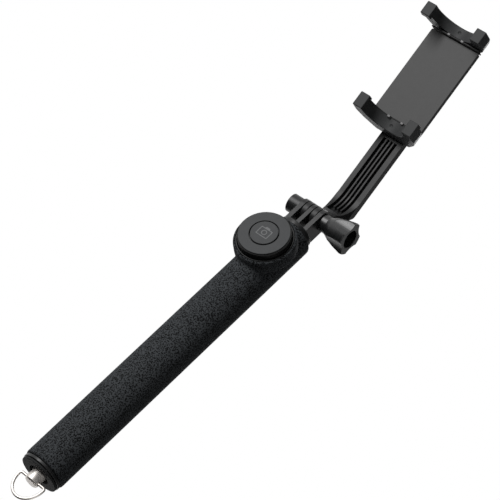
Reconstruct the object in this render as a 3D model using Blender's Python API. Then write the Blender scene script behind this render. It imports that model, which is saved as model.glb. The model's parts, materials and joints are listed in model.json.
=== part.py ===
"""Selfie stick with a telescopic handle, a pull-out shutter remote and a folding phone clamp.

Metres. The origin is on the handle's axis, halfway along the foam grip. +Z runs along the handle
towards the phone clamp, -Y is the way the shutter button faces and +X points to the thumb knob.
"""

import math

import bmesh
import bpy
from mathutils import Matrix, Vector

MM = 0.001

# Fits
GAP = 0.3 * MM
SEGMENTS = 36
SMALL_SEGMENTS = 20

# Handle and grip
GRIP_DIAMETER = 25.0 * MM
GRIP_LENGTH = 188.5 * MM
GRIP_EDGE_RADIUS = 1.6 * MM
HANDLE_TUBE_DIAMETER = 20.0 * MM
HANDLE_TUBE_WALL = 0.8 * MM

# Lower end: rim, cap, threaded insert, stud and ring
RIM_DIAMETER = 23.8 * MM
RIM_LENGTH = 1.7 * MM
CAP_DIAMETER = 23.0 * MM
CAP_LENGTH = 3.2 * MM
CAP_EDGE_RADIUS = 1.8 * MM
CAP_PLUG_LENGTH = 9.0 * MM
CAP_RECESS_DIAMETER = 10.4 * MM
CAP_RECESS_DEPTH = 2.0 * MM
CAP_WEB = 1.0 * MM
STUD_DIAMETER = 6.3 * MM
STUD_REACH = 3.9 * MM
STUD_CHAMFER = 0.7 * MM
INSERT_WALL = 1.2 * MM
RING_WIRE_DIAMETER = 1.6 * MM
RING_WIDTH = 17.2 * MM
RING_DROP = 11.6 * MM
RING_CORNER_RADIUS = 2.2 * MM
RING_HOLE_FROM_STUD_END = 1.9 * MM

# Telescopic sections
SECTION_COUNT = 4
SECTION_WALL = 0.6 * MM
SECTION_STEP_GAP = 1.1 * MM
COLLAR_LENGTH = 9.0 * MM
COLLAR_LIP = 0.8 * MM
BUSH_FLANGE = 2.0 * MM
BUSH_LEDGE = 0.8 * MM
BUSH_SLEEVE = 12.0 * MM

# Remote and the boss that holds it
REMOTE_FROM_GRIP_TOP = 19.5 * MM
BOSS_DIAMETER = 34.4 * MM
BOSS_SKIRT_HEIGHT = 9.5 * MM
BOSS_FOOT_DIAMETER = 21.0 * MM
BOSS_FOOT_HEIGHT = 3.5 * MM
BOSS_EDGE_RADIUS = 1.4 * MM
CUP_WALL = 0.8 * MM
CUP_FLOOR = 1.2 * MM
CUP_STANDOFF = 1.8 * MM
REMOTE_DIAMETER = 29.2 * MM
REMOTE_TOP_DIAMETER = 28.0 * MM
REMOTE_STAND = 4.3 * MM
REMOTE_SHELL = 1.0 * MM
REMOTE_LID_THICKNESS = 1.5 * MM
REMOTE_LID_DEPTH = 2.1 * MM
REMOTE_STEP = 1.2 * MM
CELL_DIAMETER = 20.0 * MM
CELL_THICKNESS = 1.6 * MM
BOARD_DIAMETER = 23.0 * MM
BOARD_THICKNESS = 0.8 * MM
SWITCH_DIAMETER = 6.0 * MM
SWITCH_HEIGHT = 0.65 * MM
BUTTON_DIAMETER = 15.2 * MM
BUTTON_GROOVE = 0.5 * MM
BUTTON_FLANGE = 1.2 * MM
BUTTON_FLANGE_THICKNESS = 0.9 * MM
BUTTON_PROUD = 0.2 * MM
BUTTON_TRAVEL = 0.6 * MM

# Hinge head
HEAD_DIAMETER = 22.4 * MM
HEAD_THICKNESS = 5.2 * MM
HEAD_EDGE_RADIUS = 1.0 * MM
HEAD_SPIGOT_LENGTH = 14.0 * MM
HEAD_PIN_DIAMETER = 1.6 * MM
HINGE_ABOVE_HEAD = 10.9 * MM
PRONG_ROOT = 0.5 * MM
PRONG_RADIUS = 6.3 * MM
PRONG_THICKNESS = 2.9 * MM
PRONG_PITCH = 6.2 * MM
NUT_BARREL_DIAMETER = 10.8 * MM
NUT_BARREL_LENGTH = 7.2 * MM
NUT_ACROSS_CORNERS = 8.6 * MM
NUT_THICKNESS = 4.0 * MM
BOLT_DIAMETER = 5.0 * MM

# Thumb knob
KNOB_DIAMETER = 19.0 * MM
KNOB_LENGTH = 15.8 * MM
KNOB_COLLAR_DIAMETER = 11.0 * MM
KNOB_COLLAR_LENGTH = 3.0 * MM
KNOB_FLARE = ((0.15, 0.02), (0.28, 0.25), (0.41, 0.55), (0.70, 0.85), (0.95, 1.0), (1.0, 0.9))
KNOB_SCOOPS = 5
KNOB_SCOOP_RADIUS = 4.4 * MM
KNOB_CORE_DIAMETER = 12.6 * MM
KNOB_FIRST_SCOOP = math.radians(18)
KNOB_RECESS_DIAMETER = 9.4 * MM
KNOB_RECESS_DEPTH = 6.0 * MM

# Phone arm, measured from the hinge axis in the arm's own frame
ARM_TILT = math.radians(20.5)
ARM_WIDTH = 14.7 * MM
ARM_THICKNESS = 4.5 * MM
ARM_SETBACK = 22.4 * MM
ARM_HEEL = 13.4 * MM
ARM_HEEL_RADIUS = 2.6 * MM
ARM_TIP = 108.0 * MM
ARM_TIP_THICKNESS = 2.6 * MM
NECK_FILLET = 18.0 * MM
CHANNEL_WIDTH = 8.2 * MM
CHANNEL_DEPTH = 2.5 * MM
CHANNEL_START = 13.6 * MM
CHANNEL_MARGIN = 1.9 * MM
RIB_COUNT = 3
RIB_PITCH = 2.3 * MM
RIB_WIDTH = 0.8 * MM
RIB_SETBACK = 1.1 * MM

# Phone clamp
LOWER_JAW_START = 63.7 * MM
LOWER_JAW_THICKNESS = 8.0 * MM
UPPER_JAW_THICKNESS = 7.2 * MM
CLOSED_OPENING = 55.3 * MM
JAW_TRAVEL = 30.0 * MM
JAW_WIDTH = 40.4 * MM
JAW_REACH = 1.9 * MM
SCOOP_RADIUS = 14.6 * MM
SCOOP_DEPTH = 15.5 * MM
JAW_EDGE = 0.6 * MM
HORN_DEPTH = 3.6 * MM
PAD_THICKNESS = 1.2 * MM
PAD_INSET = 0.8 * MM
PAD_EDGE = 0.3 * MM
PLATE_WIDTH = 32.0 * MM
PLATE_SETBACK = 13.8 * MM
PLATE_THICKNESS = 2.9 * MM
PLATE_EDGE = 0.5 * MM
HOUSING_WIDTH = 28.0 * MM
HOUSING_WALL = 1.6 * MM
HOUSING_FLOOR = 1.5 * MM
HOUSING_TOP_WALL = 2.4 * MM
HOUSING_EDGE = 0.8 * MM
TONGUE_WIDTH = 16.6 * MM
TONGUE_THICKNESS = 1.8 * MM
TONGUE_LENGTH = 44.0 * MM
TAB_LENGTH = 2.4 * MM
SPRING_DIAMETER = 2.6 * MM
SPRING_WIRE = 0.5 * MM
SPRING_TURNS = 10
SPRING_POINTS = 8
SPRING_PIN_DIAMETER = 1.8 * MM
SCREW_DIAMETER = 2.2 * MM
SCREW_HEAD_DIAMETER = 4.0 * MM
SCREW_HEAD_THICKNESS = 1.4 * MM
SCREW_LENGTH = 6.0 * MM
SCREW_EDGE = 2.85 * MM

# Derived places along the handle
GRIP_RADIUS = GRIP_DIAMETER / 2
GRIP_BOTTOM = -GRIP_LENGTH / 2
GRIP_TOP = GRIP_LENGTH / 2
HANDLE_TUBE_RADIUS = HANDLE_TUBE_DIAMETER / 2
HANDLE_TUBE_BORE = HANDLE_TUBE_RADIUS - HANDLE_TUBE_WALL
RIM_BOTTOM = GRIP_BOTTOM - GAP - RIM_LENGTH
CAP_TOP = RIM_BOTTOM - GAP
CAP_BOTTOM = CAP_TOP - CAP_LENGTH
CAP_PLUG_TOP = CAP_TOP + CAP_PLUG_LENGTH
CAP_RECESS_FLOOR = CAP_BOTTOM + CAP_RECESS_DEPTH
STUD_BOTTOM = CAP_BOTTOM - STUD_REACH
STUD_RADIUS = STUD_DIAMETER / 2
INSERT_RADIUS = STUD_RADIUS + GAP + INSERT_WALL
INSERT_BOTTOM = CAP_RECESS_FLOOR + CAP_WEB + GAP
RING_AXIS_Z = STUD_BOTTOM + RING_HOLE_FROM_STUD_END
TUBE_TOP = GRIP_TOP - COLLAR_LIP
COLLAR_TOP = TUBE_TOP + GAP + COLLAR_LIP
HEAD_BOTTOM = COLLAR_TOP + GAP
HEAD_TOP = HEAD_BOTTOM + HEAD_THICKNESS
HINGE_Z = HEAD_TOP + HINGE_ABOVE_HEAD
REMOTE_Z = GRIP_TOP - REMOTE_FROM_GRIP_TOP
BUSH_FLOOR = CAP_PLUG_TOP + GAP

# Derived heights of the remote above the handle's axis
CUP_FLOOR_HEIGHT = HANDLE_TUBE_RADIUS + CUP_STANDOFF
REMOTE_FLOOR = CUP_FLOOR_HEIGHT + CUP_FLOOR + GAP
CELL_LOW = REMOTE_FLOOR + REMOTE_SHELL + GAP
CELL_HIGH = CELL_LOW + CELL_THICKNESS
BOARD_LOW = CELL_HIGH + GAP
BOARD_HIGH = BOARD_LOW + BOARD_THICKNESS
SWITCH_LOW = BOARD_HIGH + GAP
SWITCH_HIGH = SWITCH_LOW + SWITCH_HEIGHT
BUTTON_LOW = SWITCH_HIGH + GAP / 2 + BUTTON_TRAVEL
BUTTON_STOP = BUTTON_LOW + BUTTON_FLANGE_THICKNESS
REMOTE_PLATE_LOW = BUTTON_STOP + GAP
REMOTE_TOP_HEIGHT = REMOTE_PLATE_LOW + REMOTE_LID_THICKNESS
BOSS_RIM_HEIGHT = REMOTE_TOP_HEIGHT - REMOTE_STAND

# Derived places across the hinge
HEAD_HALF_WIDTH = PRONG_PITCH + PRONG_THICKNESS / 2
ARM_PRONG_THICKNESS = PRONG_PITCH - PRONG_THICKNESS - 2 * GAP
PRONG_SWING = math.hypot(PRONG_RADIUS, HINGE_ABOVE_HEAD) + GAP
BARREL_END = -HEAD_HALF_WIDTH - NUT_BARREL_LENGTH
KNOB_START = HEAD_HALF_WIDTH + GAP
KNOB_GRIP_START = KNOB_START + KNOB_COLLAR_LENGTH
KNOB_END = KNOB_GRIP_START + KNOB_LENGTH
BOLT_HOLE_RADIUS = BOLT_DIAMETER / 2 + GAP

# Derived places in the arm's frame
ARM_BACK = ARM_SETBACK + ARM_THICKNESS
LOWER_JAW_TOP = LOWER_JAW_START + LOWER_JAW_THICKNESS
UPPER_JAW_START = LOWER_JAW_TOP + CLOSED_OPENING
UPPER_JAW_TOP = UPPER_JAW_START + UPPER_JAW_THICKNESS
CHANNEL_TOP = LOWER_JAW_START - CHANNEL_MARGIN
PLATE_BOTTOM = LOWER_JAW_TOP + GAP
PLATE_TOP = UPPER_JAW_START - GAP
PLATE_BACK = PLATE_SETBACK + PLATE_THICKNESS
HOUSING_FRONT = PLATE_BACK + GAP
HOUSING_BACK = ARM_SETBACK - GAP
CAVITY_FLOOR = HOUSING_BACK - HOUSING_FLOOR
CAVITY_HALF_WIDTH = HOUSING_WIDTH / 2 - HOUSING_WALL
CAVITY_BOTTOM = PLATE_BOTTOM + HOUSING_WALL
TONGUE_FRONT = HOUSING_FRONT + GAP
TONGUE_BACK = TONGUE_FRONT + TONGUE_THICKNESS
SPRING_X = (TONGUE_WIDTH / 2 + CAVITY_HALF_WIDTH) / 2
SPRING_Y = (HOUSING_FRONT + CAVITY_FLOOR) / 2
SPRING_PIN_Z = CAVITY_BOTTOM + GAP + SPRING_PIN_DIAMETER / 2
SPRING_BOTTOM = SPRING_PIN_Z + SPRING_PIN_DIAMETER / 2 + GAP
TAB_TOP = PLATE_TOP - HOUSING_TOP_WALL - JAW_TRAVEL - GAP
TAB_BOTTOM = TAB_TOP - TAB_LENGTH
SPRING_TOP = TAB_BOTTOM - GAP
PAD_BACK = PLATE_BACK
SCOOP_CENTRE = SCOOP_DEPTH - SCOOP_RADIUS - JAW_REACH
SCREW_Z = LOWER_JAW_START + LOWER_JAW_THICKNESS / 2
SCREW_SPACING = ARM_WIDTH - 2 * SCREW_EDGE


def clear_scene():
    """Remove every object, so the script gives the same model from any start."""
    for old in list(bpy.data.objects):
        bpy.data.objects.remove(old, do_unlink=True)


def make_material(name, colour, roughness, metallic=0.0):
    """A plain Principled material."""
    material = bpy.data.materials.new(name)
    material.use_nodes = True
    shader = material.node_tree.nodes["Principled BSDF"]
    shader.inputs["Base Color"].default_value = (*colour, 1.0)
    shader.inputs["Roughness"].default_value = roughness
    shader.inputs["Metallic"].default_value = metallic
    return material


def make_frame(name, place, turn=(0.0, 0.0, 0.0), parent=None):
    """An empty that carries the pieces of one sub-assembly."""
    frame = bpy.data.objects.new(name, None)
    frame.location = place
    frame.rotation_euler = turn
    frame.parent = parent
    bpy.context.collection.objects.link(frame)
    return frame


def finish(name, bm, material, parent):
    """Turn a bmesh into a smooth-shaded object in its parent's frame."""
    bmesh.ops.remove_doubles(bm, verts=bm.verts, dist=1e-7)
    bmesh.ops.recalc_face_normals(bm, faces=bm.faces)
    mesh = bpy.data.meshes.new(name)
    bm.to_mesh(mesh)
    bm.free()
    mesh.shade_smooth()
    mesh.set_sharp_from_angle(angle=math.radians(35))
    piece = bpy.data.objects.new(name, mesh)
    piece.parent = parent
    bpy.context.collection.objects.link(piece)
    if material:
        mesh.materials.append(material)
    else:
        piece.hide_render = True
        piece.display_type = "WIRE"
    return piece


def arc(centre, radius, start, end, steps):
    """Points along an arc from start to end degrees."""
    points = []
    for step in range(steps + 1):
        angle = math.radians(start + (end - start) * step / steps)
        points.append((centre[0] + radius * math.cos(angle), centre[1] + radius * math.sin(angle)))
    return points


def lathe(name, profile, material, parent, segments=SEGMENTS):
    """Turn a closed outline of (radius, height) points about the frame's Z axis."""
    bm = bmesh.new()
    verts = [bm.verts.new((radius, 0.0, height)) for radius, height in profile]
    edges = [bm.edges.new((a, b)) for a, b in zip(verts, verts[1:] + verts[:1])
             if a.co.x > 1e-9 or b.co.x > 1e-9]
    bmesh.ops.spin(bm, geom=verts + edges, cent=(0, 0, 0), axis=(0, 0, 1), dvec=(0, 0, 0),
                   angle=2 * math.pi, steps=segments, use_merge=True)
    bmesh.ops.remove_doubles(bm, verts=bm.verts, dist=1e-7)
    bmesh.ops.dissolve_degenerate(bm, edges=bm.edges, dist=1e-7)
    return finish(name, bm, material, parent)


def rod(name, radius, low, high, material, parent, segments=SMALL_SEGMENTS):
    """A plain round bar along the frame's Z axis."""
    return lathe(name, [(0, low), (radius, low), (radius, high), (0, high)], material, parent, segments)


# How a prism's outline axes and its length lie in its frame
ALONG_X = Matrix(((0, 0, 1), (1, 0, 0), (0, 1, 0)))
ALONG_Y = Matrix(((1, 0, 0), (0, 0, 1), (0, 1, 0)))
ALONG_Z = Matrix.Identity(3)


def prism(name, outline, low, high, way, material, parent, edge=0.0):
    """Extrude a closed outline from low to high, with its outer edges bevelled if edge is set."""
    bm = bmesh.new()
    face = bm.faces.new([bm.verts.new(way @ Vector((u, v, low))) for u, v in outline])
    grown = bmesh.ops.extrude_face_region(bm, geom=[face])
    moved = [item for item in grown["geom"] if isinstance(item, bmesh.types.BMVert)]
    bmesh.ops.translate(bm, verts=moved, vec=way @ Vector((0, 0, high - low)))
    bmesh.ops.recalc_face_normals(bm, faces=bm.faces)
    if edge:
        sharp = [e for e in bm.edges if e.calc_face_angle(0.0) > math.radians(40)]
        bmesh.ops.bevel(bm, geom=sharp, offset=edge, offset_type="OFFSET", segments=1, profile=0.5,
                        affect="EDGES", clamp_overlap=True, material=-1)
    return finish(name, bm, material, parent)


def block(name, low, high, material, parent, edge=0.0):
    """A box between two corners, bevelled if edge is set."""
    outline = [(low[0], low[1]), (high[0], low[1]), (high[0], high[1]), (low[0], high[1])]
    return prism(name, outline, low[2], high[2], ALONG_Z, material, parent, edge)


def combine(piece, other, operation):
    """Join, cut or intersect a piece with a helper shape."""
    modifier = piece.modifiers.new(other.name, "BOOLEAN")
    modifier.operation = operation
    modifier.solver = "EXACT"
    modifier.object = other
    return piece


def bore(piece, radius, low, high, parent, name, segments=SMALL_SEGMENTS):
    """Cut a round hole along the Z axis of a frame."""
    combine(piece, rod(name, radius, low, high, None, parent, segments), "DIFFERENCE")


def rounded_disc(radius, low, high, edge):
    """Lathe profile of a disc whose two outer edges are rounded."""
    lower = arc((radius - edge, low + edge), edge, -90, 0, 3)
    upper = arc((radius - edge, high - edge), edge, 0, 90, 3)
    return [(0, low)] + lower + upper + [(0, high)]


def section_radius(number):
    """Outer radius of a telescopic section. Number 0 is the handle's own tube."""
    if number == 0:
        return HANDLE_TUBE_RADIUS
    return section_bore(number - 1) - SECTION_STEP_GAP


def section_bore(number):
    """Inner radius of a telescopic section."""
    wall = HANDLE_TUBE_WALL if number == 0 else SECTION_WALL
    return section_radius(number) - wall


def bush_bottom(number):
    """Height of the underside of a section's guide bush, pushed home."""
    return BUSH_FLOOR + (number - 1) * (BUSH_FLANGE + GAP)


def section_travel(number):
    """How far a section slides out before its bush meets the collar above it."""
    collar_bottom = TUBE_TOP - COLLAR_LENGTH
    return collar_bottom - (bush_bottom(number) + BUSH_FLANGE + BUSH_SLEEVE) - GAP


def build_handle(paint, handle, remote):
    """Foam grip, handle tube, lower end and remote cup."""
    foam = lathe("foam_grip", rounded_disc(GRIP_RADIUS, GRIP_BOTTOM, GRIP_TOP, GRIP_EDGE_RADIUS),
                 paint["foam"], handle, 44)
    boss_radius = BOSS_DIAMETER / 2
    boss_edge = arc((boss_radius - BOSS_EDGE_RADIUS, BOSS_RIM_HEIGHT - BOSS_EDGE_RADIUS),
                    BOSS_EDGE_RADIUS, 0, 90, 3)
    foot = [(0, BOSS_FOOT_HEIGHT), (BOSS_FOOT_DIAMETER / 2, BOSS_FOOT_HEIGHT), (boss_radius, BOSS_SKIRT_HEIGHT)]
    combine(foam, lathe("boss_form", foot + boss_edge + [(0, BOSS_RIM_HEIGHT)], None, remote, 40), "UNION")
    bore(foam, HANDLE_TUBE_RADIUS + GAP, GRIP_BOTTOM - MM, GRIP_TOP + MM, handle, "grip_bore", SEGMENTS)
    cup_radius = REMOTE_DIAMETER / 2 + GAP + CUP_WALL
    bore(foam, cup_radius + GAP, CUP_FLOOR_HEIGHT - GAP, BOSS_RIM_HEIGHT + MM, remote, "cup_pocket", SEGMENTS)

    tube_ring = [(HANDLE_TUBE_BORE, RIM_BOTTOM), (HANDLE_TUBE_RADIUS, RIM_BOTTOM),
                 (HANDLE_TUBE_RADIUS, TUBE_TOP), (HANDLE_TUBE_BORE, TUBE_TOP)]
    lathe("handle_tube", tube_ring, paint["alloy"], handle)

    rim_bore = HANDLE_TUBE_RADIUS + GAP
    rim_ring = [(rim_bore, RIM_BOTTOM), (RIM_DIAMETER / 2, RIM_BOTTOM),
                (RIM_DIAMETER / 2, GRIP_BOTTOM - GAP), (rim_bore, GRIP_BOTTOM - GAP)]
    lathe("rim_collar", rim_ring, paint["plastic"], handle, 40)

    hole = INSERT_RADIUS + GAP
    plug_radius = HANDLE_TUBE_BORE - GAP
    cap_radius = CAP_DIAMETER / 2
    cap_edge = arc((cap_radius - CAP_EDGE_RADIUS, CAP_BOTTOM + CAP_EDGE_RADIUS), CAP_EDGE_RADIUS, 0, -90, 3)
    cap_ring = [(hole, CAP_PLUG_TOP), (plug_radius, CAP_PLUG_TOP), (plug_radius, CAP_TOP), (cap_radius, CAP_TOP)]
    eye = STUD_RADIUS + GAP
    cap_ring += cap_edge + [(CAP_RECESS_DIAMETER / 2, CAP_BOTTOM), (CAP_RECESS_DIAMETER / 2, CAP_RECESS_FLOOR),
                            (eye, CAP_RECESS_FLOOR), (eye, INSERT_BOTTOM - GAP), (hole, INSERT_BOTTOM - GAP)]
    lathe("end_cap", cap_ring, paint["plastic"], handle, 40)

    insert_ring = [(eye, INSERT_BOTTOM), (INSERT_RADIUS, INSERT_BOTTOM), (INSERT_RADIUS, CAP_PLUG_TOP),
                   (eye, CAP_PLUG_TOP)]
    lathe("thread_insert", insert_ring, paint["brass"], handle, SMALL_SEGMENTS)

    cup_ring = [(0, CUP_FLOOR_HEIGHT), (cup_radius, CUP_FLOOR_HEIGHT), (cup_radius, BOSS_RIM_HEIGHT),
                (cup_radius - CUP_WALL, BOSS_RIM_HEIGHT), (cup_radius - CUP_WALL, CUP_FLOOR_HEIGHT + CUP_FLOOR),
                (0, CUP_FLOOR_HEIGHT + CUP_FLOOR)]
    lathe("remote_cup", cup_ring, paint["plastic"], remote)


def build_ring(paint, handle, ring):
    """Cross-drilled stud and the wire ring that hangs in it."""
    stud = [(0, STUD_BOTTOM), (STUD_RADIUS - STUD_CHAMFER, STUD_BOTTOM), (STUD_RADIUS, STUD_BOTTOM + STUD_CHAMFER),
            (STUD_RADIUS, CAP_PLUG_TOP), (0, CAP_PLUG_TOP)]
    stud_piece = lathe("ring_stud", stud, paint["steel"], handle, 28)
    wire = RING_WIRE_DIAMETER / 2
    across = make_frame("ring_axis", (0, 0, RING_AXIS_Z), (0, math.pi / 2, 0))
    bore(stud_piece, wire + GAP, -STUD_DIAMETER, STUD_DIAMETER, across, "ring_hole", 16)

    half = RING_WIDTH / 2
    straight = half - RING_CORNER_RADIUS
    corner = arc((straight, -RING_CORNER_RADIUS), RING_CORNER_RADIUS, 90, 0, 4)
    bow = [(half * math.cos(t), -RING_CORNER_RADIUS - (RING_DROP - RING_CORNER_RADIUS) * math.sin(t))
           for t in (math.pi * step / 20 for step in range(1, 20))]
    mirrored = [(-x, z) for x, z in reversed(corner)]
    route = [(0.0, 0.0)] + corner + bow + mirrored
    curve = bpy.data.curves.new("d_ring", "CURVE")
    curve.dimensions = "3D"
    curve.bevel_depth = wire
    curve.bevel_resolution = 2
    spline = curve.splines.new("POLY")
    spline.points.add(len(route) - 1)
    for point, (x, z) in zip(spline.points, route):
        point.co = (x, 0.0, z, 1.0)
    spline.use_cyclic_u = True
    curve.materials.append(paint["steel"])
    piece = bpy.data.objects.new("d_ring", curve)
    piece.parent = ring
    bpy.context.collection.objects.link(piece)


def build_sections(paint, handle):
    """Telescopic tubes, each with a guide bush below and a collar in the mouth of the tube around it."""
    for number in range(1, SECTION_COUNT + 1):
        outer_bore = section_bore(number - 1)
        radius = section_radius(number)
        inner = section_bore(number)
        bottom = bush_bottom(number)
        ledge = bottom + BUSH_FLANGE
        tube = [(inner, ledge + GAP), (radius, ledge + GAP), (radius, TUBE_TOP), (inner, TUBE_TOP)]
        lathe(f"section_tube_{number}", tube, paint["alloy"], handle, 24)
        sleeve_top = ledge + BUSH_SLEEVE
        bush = [(inner - BUSH_LEDGE, bottom), (outer_bore - GAP, bottom), (outer_bore - GAP, sleeve_top),
                (radius + GAP, sleeve_top), (radius + GAP, ledge), (inner - BUSH_LEDGE, ledge)]
        lathe(f"guide_bush_{number}", bush, paint["nylon"], handle, 24)
        collar_name = "handle_collar" if number == 1 else f"section_collar_{number - 1}"
        lip = section_radius(number - 1)
        collar = [(radius + GAP, TUBE_TOP - COLLAR_LENGTH), (outer_bore - GAP, TUBE_TOP - COLLAR_LENGTH),
                  (outer_bore - GAP, TUBE_TOP + GAP), (lip, TUBE_TOP + GAP), (lip, COLLAR_TOP),
                  (radius + GAP, COLLAR_TOP)]
        lathe(collar_name, collar, paint["nylon"], handle, 24)


def build_remote(paint, remote):
    """Puck-shaped shutter remote: two shells, cell, board, dome switch and button."""
    radius = REMOTE_DIAMETER / 2
    top_radius = REMOTE_TOP_DIAMETER / 2
    lid_bottom = REMOTE_TOP_HEIGHT - REMOTE_LID_DEPTH
    inner = radius - REMOTE_SHELL
    base = [(0, REMOTE_FLOOR), (radius, REMOTE_FLOOR), (radius, lid_bottom - GAP), (inner, lid_bottom - GAP),
            (inner, REMOTE_FLOOR + REMOTE_SHELL), (0, REMOTE_FLOOR + REMOTE_SHELL)]
    lathe("remote_base", base, paint["plastic"], remote, 40)

    hole = BUTTON_DIAMETER / 2 + BUTTON_GROOVE
    shoulder = REMOTE_TOP_HEIGHT - REMOTE_STEP
    lid = [(hole, REMOTE_PLATE_LOW), (inner, REMOTE_PLATE_LOW), (inner, lid_bottom), (radius, lid_bottom),
           (radius, shoulder), (top_radius, REMOTE_TOP_HEIGHT), (hole, REMOTE_TOP_HEIGHT)]
    lathe("remote_lid", lid, paint["shell"], remote, 40)

    rod("coin_cell", CELL_DIAMETER / 2, CELL_LOW, CELL_HIGH, paint["steel"], remote, 24)
    rod("remote_board", BOARD_DIAMETER / 2, BOARD_LOW, BOARD_HIGH, paint["board"], remote, 24)
    switch_radius = SWITCH_DIAMETER / 2
    dome = [(0, SWITCH_LOW), (switch_radius, SWITCH_LOW), (0.6 * switch_radius, SWITCH_HIGH), (0, SWITCH_HIGH)]
    lathe("dome_switch", dome, paint["steel"], remote, 16)
    button_top = REMOTE_TOP_HEIGHT + BUTTON_PROUD
    button_radius = BUTTON_DIAMETER / 2
    button = [(0, BUTTON_LOW), (hole + BUTTON_FLANGE, BUTTON_LOW), (hole + BUTTON_FLANGE, BUTTON_STOP),
              (button_radius, BUTTON_STOP)]
    button += arc((button_radius - BUTTON_PROUD, button_top - BUTTON_PROUD), BUTTON_PROUD, 0, 90, 2)
    lathe("shutter_button", button + [(0, button_top)], paint["shell"], remote, 40)


def tab_outline(radius, foot):
    """Side outline of a hinge prong: a round top over a straight foot."""
    return [(radius, foot)] + arc((0, 0), radius, 0, 180, 12) + [(-radius, foot)]


def build_head(paint, handle, hinge, across):
    """Three-pronged head with its nut barrel, the nut, and the pin that holds it in the last tube."""
    spigot_radius = section_bore(SECTION_COUNT) - GAP
    upper = arc((HEAD_DIAMETER / 2 - HEAD_EDGE_RADIUS, HEAD_TOP - HEAD_EDGE_RADIUS), HEAD_EDGE_RADIUS, 0, 90, 3)
    profile = [(0, HEAD_BOTTOM - HEAD_SPIGOT_LENGTH), (spigot_radius, HEAD_BOTTOM - HEAD_SPIGOT_LENGTH),
               (spigot_radius, HEAD_BOTTOM), (HEAD_DIAMETER / 2, HEAD_BOTTOM)] + upper + [(0, HEAD_TOP)]
    head = lathe("hinge_head", profile, paint["plastic"], handle, 40)
    foot = -HINGE_ABOVE_HEAD - MM
    prongs = prism("prong_form", tab_outline(PRONG_RADIUS, foot), -HEAD_HALF_WIDTH, HEAD_HALF_WIDTH, ALONG_X,
                   None, hinge)
    combine(head, prongs, "UNION")
    barrel = rod("barrel_form", NUT_BARREL_DIAMETER / 2, BARREL_END, -PRONG_PITCH, None, across, 32)
    combine(head, barrel, "UNION")
    slot_half = (PRONG_PITCH - PRONG_THICKNESS) / 2
    for side in (-1, 1):
        middle = side * PRONG_PITCH / 2
        slot = block(f"prong_slot_{side}", (middle - slot_half, -2 * PRONG_RADIUS, PRONG_ROOT - HINGE_ABOVE_HEAD),
                     (middle + slot_half, 2 * PRONG_RADIUS, 2 * PRONG_RADIUS), None, hinge)
        combine(head, slot, "DIFFERENCE")
    pocket_floor = BARREL_END + GAP + NUT_THICKNESS + GAP
    bore(head, NUT_ACROSS_CORNERS / 2 + GAP, BARREL_END - MM, pocket_floor, across, "nut_pocket", 6)
    bore(head, BOLT_HOLE_RADIUS, pocket_floor - MM, HEAD_HALF_WIDTH + MM, across, "bolt_hole", 20)

    pin_z = HEAD_BOTTOM - HEAD_SPIGOT_LENGTH / 2
    pin_axis = make_frame("pin_axis", (0, 0, pin_z), (0, math.pi / 2, 0))
    pin_half = section_radius(SECTION_COUNT)
    pin_hole = HEAD_PIN_DIAMETER / 2 + GAP
    bore(head, pin_hole, -pin_half - MM, pin_half + MM, pin_axis, "head_pin_hole", 16)
    tube = bpy.data.objects[f"section_tube_{SECTION_COUNT}"]
    combine(tube, bpy.data.objects["head_pin_hole"], "DIFFERENCE")
    rod("head_pin", HEAD_PIN_DIAMETER / 2, -pin_half, pin_half, paint["steel"], pin_axis, 12)

    nut = rod("hinge_nut", NUT_ACROSS_CORNERS / 2, BARREL_END + GAP, BARREL_END + GAP + NUT_THICKNESS,
              paint["steel"], across, 6)
    bore(nut, BOLT_HOLE_RADIUS, BARREL_END - MM, pocket_floor + MM, across, "nut_bore")


def build_knob(paint, across):
    """Flared thumb knob with finger scoops and a hollow end, on its clamping bolt."""
    bolt_tip = BARREL_END + GAP + GAP
    socket = KNOB_END - KNOB_RECESS_DEPTH - 2 * MM
    lathe("clamp_bolt", [(0, bolt_tip), (BOLT_DIAMETER / 2 - GAP, bolt_tip), (BOLT_DIAMETER / 2, bolt_tip + 2 * GAP),
                         (BOLT_DIAMETER / 2, socket - GAP), (0, socket - GAP)], paint["steel"], across)
    collar = KNOB_COLLAR_DIAMETER / 2
    rise = KNOB_DIAMETER / 2 - collar
    flare = [(collar + share * rise, KNOB_GRIP_START + along * KNOB_LENGTH) for along, share in KNOB_FLARE]
    knob = lathe("thumb_knob", [(0, KNOB_START), (collar, KNOB_START)] + flare + [(0, KNOB_END)], paint["plastic"],
                 across, 40)
    reach = KNOB_CORE_DIAMETER / 2 + KNOB_SCOOP_RADIUS
    for number in range(KNOB_SCOOPS):
        turn = KNOB_FIRST_SCOOP + math.pi / 2 + 2 * math.pi * number / KNOB_SCOOPS
        axis = make_frame(f"scoop_axis_{number}", (reach * math.cos(turn), reach * math.sin(turn), 0), parent=across)
        bore(knob, KNOB_SCOOP_RADIUS, KNOB_GRIP_START, KNOB_END + MM, axis, f"scoop_form_{number}", 24)
    bore(knob, KNOB_RECESS_DIAMETER / 2, KNOB_END - KNOB_RECESS_DEPTH, KNOB_END + MM, across, "knob_recess", 32)
    bore(knob, BOLT_HOLE_RADIUS, KNOB_START - MM, socket, across, "knob_socket")


def arm_front(depth, low, high):
    """Front line of the arm and its neck, set back by depth, as (y, z) points from high to low."""
    centre = (ARM_SETBACK - NECK_FILLET, PRONG_RADIUS + NECK_FILLET)
    radius = NECK_FILLET + depth
    points = [(ARM_SETBACK + depth, high)]
    for angle in range(0, -91, -9):
        y = centre[0] + radius * math.cos(math.radians(angle))
        z = centre[1] + radius * math.sin(math.radians(angle))
        if low < z < high:
            points.append((y, z))
    end = math.asin(max(-1.0, min(0.0, (low - centre[1]) / radius)))
    return points + [(centre[0] + radius * math.cos(end), low)]


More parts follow.
